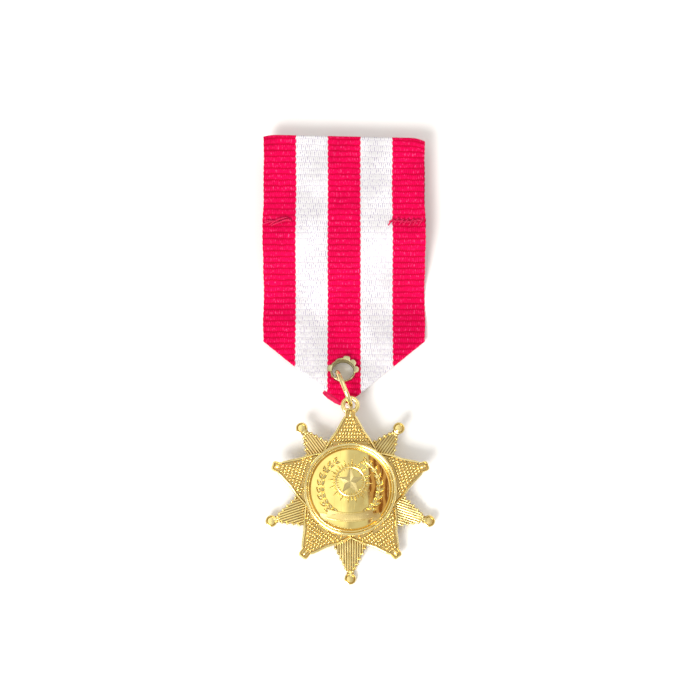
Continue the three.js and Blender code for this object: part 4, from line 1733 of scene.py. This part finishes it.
# ---------------------------------------------------------------- brooch pin
@dataclass
class BroochPin:
    """The plated pin behind the fold, rounded over from the frame's own shapes. Millimetres."""

    soften: dict[str, float] = field(default_factory=lambda: {
        "pin_plate": 0.09, "hinge_rivet": 0.08, "pin_needle": 0.03, "catch_body": 0.08, "catch_lock": 0.06})
    bodies: dict[str, str] = field(default_factory=lambda: {"pin_needle": "needle", "catch_lock": "lock"})

    def softened(self, node: str) -> bpy.types.Object:
        """A copy of a frame shape with its edges rounded.

        Args:
            node: The frame's node.

        Returns:
            The piece.
        """
        source = frame["nodes"][node]
        piece = source.copy()
        piece.data = source.data.copy()
        piece.parent = None
        piece.matrix_world = Matrix.Identity(4)
        for key in list(piece.keys()):
            del piece[key]
        bpy.context.collection.objects.link(piece)
        pick_up(piece)
        named(node + "_finished")
        tidy_shell(piece, 2 * WELD)
        with editing(piece):
            bpy.ops.mesh.dissolve_limited(angle_limit=math.radians(2))
        apply_modifier(piece, "BEVEL", width=self.soften[node] * MM, segments=2, limit_method="ANGLE",
                       angle_limit=math.radians(38), use_clamp_overlap=True)
        return dress(smooth(piece, 40), Finish.NICKEL)

    def build(self) -> None:
        """Make the pin's pieces and fit them."""
        for node in self.soften:
            fit(self.softened(node), self.bodies.get(node, "brooch"), "pin_metal", node)


# ---------------------------------------------------------------- studio
@dataclass
class Studio:
    """A pale floor, soft light from the lower left and a camera that looks down. Metres."""

    aim: tuple[float, float, float] = (0.0006, 0.00185, 0.0)
    distance: float = 0.4
    elevation: float = math.radians(79)
    half_frame: float = 350.0
    focal_length: float = 1858.0
    pale: tuple[float, ...] = (1.0, 0.99, 0.97, 1)
    horizon: tuple[float, ...] = (0.30, 0.24, 0.19, 1)
    smudge: tuple[float, ...] = (0.55, 0.46, 0.38, 1)
    window: tuple[float, ...] = (1.75, 1.72, 1.5, 1)
    wood_dark: tuple[float, ...] = (0.34, 0.13, 0.05, 1)
    wood_light: tuple[float, ...] = (0.85, 0.52, 0.28, 1)

    def floor(self) -> None:
        """A wide pale floor with a faint unevenness."""
        put_down_all()
        bpy.ops.mesh.primitive_plane_add(size=6.0, location=(0, 0, 0))
        plane = named("floor")
        made, tree, shader = new_material("pale paper")
        place = tree.add("ShaderNodeTexCoord").outputs["Object"]
        cloud = tree.span(tree.speckle(place, 9.0, 2.0), 0.3, 0.7)
        tone = tree.mix(cloud, (0.93, 0.92, 0.915, 1), (0.96, 0.955, 0.95, 1))
        tree.feed(shader, {"Base Color": tone, "Roughness": 0.7, "Specular IOR Level": 0.15})
        plane.data.materials.append(made)

    def lamp(self, name: str, where: tuple[float, float, float], size: float, power: float,
             tint: tuple[float, float, float]) -> None:
        """A soft square lamp that faces the medal.

        Args:
            name: The lamp's name.
            where: Its place.
            size: Its side.
            power: Its power in watts.
            tint: Its colour.
        """
        data = bpy.data.lights.new(name, "AREA")
        data.size, data.energy, data.color = size, power, tint
        lamp = bpy.data.objects.new(name, data)
        bpy.context.collection.objects.link(lamp)
        lamp.location = where
        lamp.rotation_euler = (Vector(where) - Vector(self.aim)).to_track_quat("Z", "Y").to_euler()

    def surroundings(self) -> None:
        """Pale surroundings with one warm dark side, for the polished metal to mirror."""
        world = bpy.data.worlds.new("studio")
        world.use_nodes = True
        tree = Tree(world.node_tree)
        back = world.node_tree.nodes["Background"]
        ways = tree.add("ShaderNodeTexCoord").outputs["Generated"]
        parts = tree.add("ShaderNodeSeparateXYZ", {0: ways})
        side, high = parts.outputs[0], parts.outputs[2]
        overhead = tree.span(high, 0.9, 0.94)
        streak = tree.span(tree.speckle(ways, 5.0, 2.0), 0.5, 0.62, 0.0, 0.5)
        low = tree.span(high, 0.55, 0.1)
        colour = tree.mix(tree.math("MULTIPLY", low, 0.8), self.pale, self.horizon)
        colour = tree.mix(tree.math("MULTIPLY", streak, 0.6), colour, self.smudge)
        left = tree.math("MULTIPLY", overhead, tree.span(side, 0.0, -0.05))
        colour = tree.mix(left, colour, self.window)
        wobble = tree.math("MULTIPLY_ADD", tree.speckle(ways, 9.0, 2.0), 0.05, side)
        right = tree.math("MULTIPLY", overhead, tree.span(wobble, 0.15, 0.165))
        wave = {"Vector": ways, "Scale": 7.0, "Distortion": 5.0, "Detail": 2.0}
        grain = tree.span(tree.add("ShaderNodeTexWave", wave).outputs["Fac"], 0.35, 0.65)
        colour = tree.mix(right, colour, tree.mix(grain, self.wood_dark, self.wood_light))
        tree.feed(back, {"Color": colour, "Strength": 0.72})
        bpy.context.scene.world = world

    def camera(self) -> None:
        """The camera, down at the medal from its foot."""
        data = bpy.data.cameras.new("camera")
        data.sensor_fit = "HORIZONTAL"
        data.angle = 2 * math.atan(self.half_frame / self.focal_length)
        data.clip_start, data.clip_end = 0.01, 20.0
        camera = bpy.data.objects.new("camera", data)
        bpy.context.collection.objects.link(camera)
        away = Vector((0, -math.cos(self.elevation), math.sin(self.elevation)))
        camera.location = Vector(self.aim) + away * self.distance
        camera.rotation_euler = away.to_track_quat("Z", "Y").to_euler()
        bpy.context.scene.camera = camera

    def build(self) -> None:
        """Set the floor, the lamps, the surroundings and the camera."""
        self.camera()
        self.floor()
        self.surroundings()
        self.lamp("key", where=(-0.30, -0.52, 0.62), size=0.34, power=7.0, tint=(1.0, 0.985, 0.96))
        self.lamp("fill", where=(0.50, 0.35, 0.80), size=0.90, power=2.0, tint=(0.95, 0.97, 1.0))
        bpy.context.scene.view_settings.view_transform = "Standard"


def main() -> None:
    """Build the medal in order."""
    logging.basicConfig(level=logging.INFO, format="%(name)s: %(message)s")
    Studio().build()
    Ribbon().build()
    Sewing().build()
    Suspension().build()
    star = Star()
    star.build()
    Emblem(star).build()
    BroochPin().build()


if __name__ == "__main__":
    main()
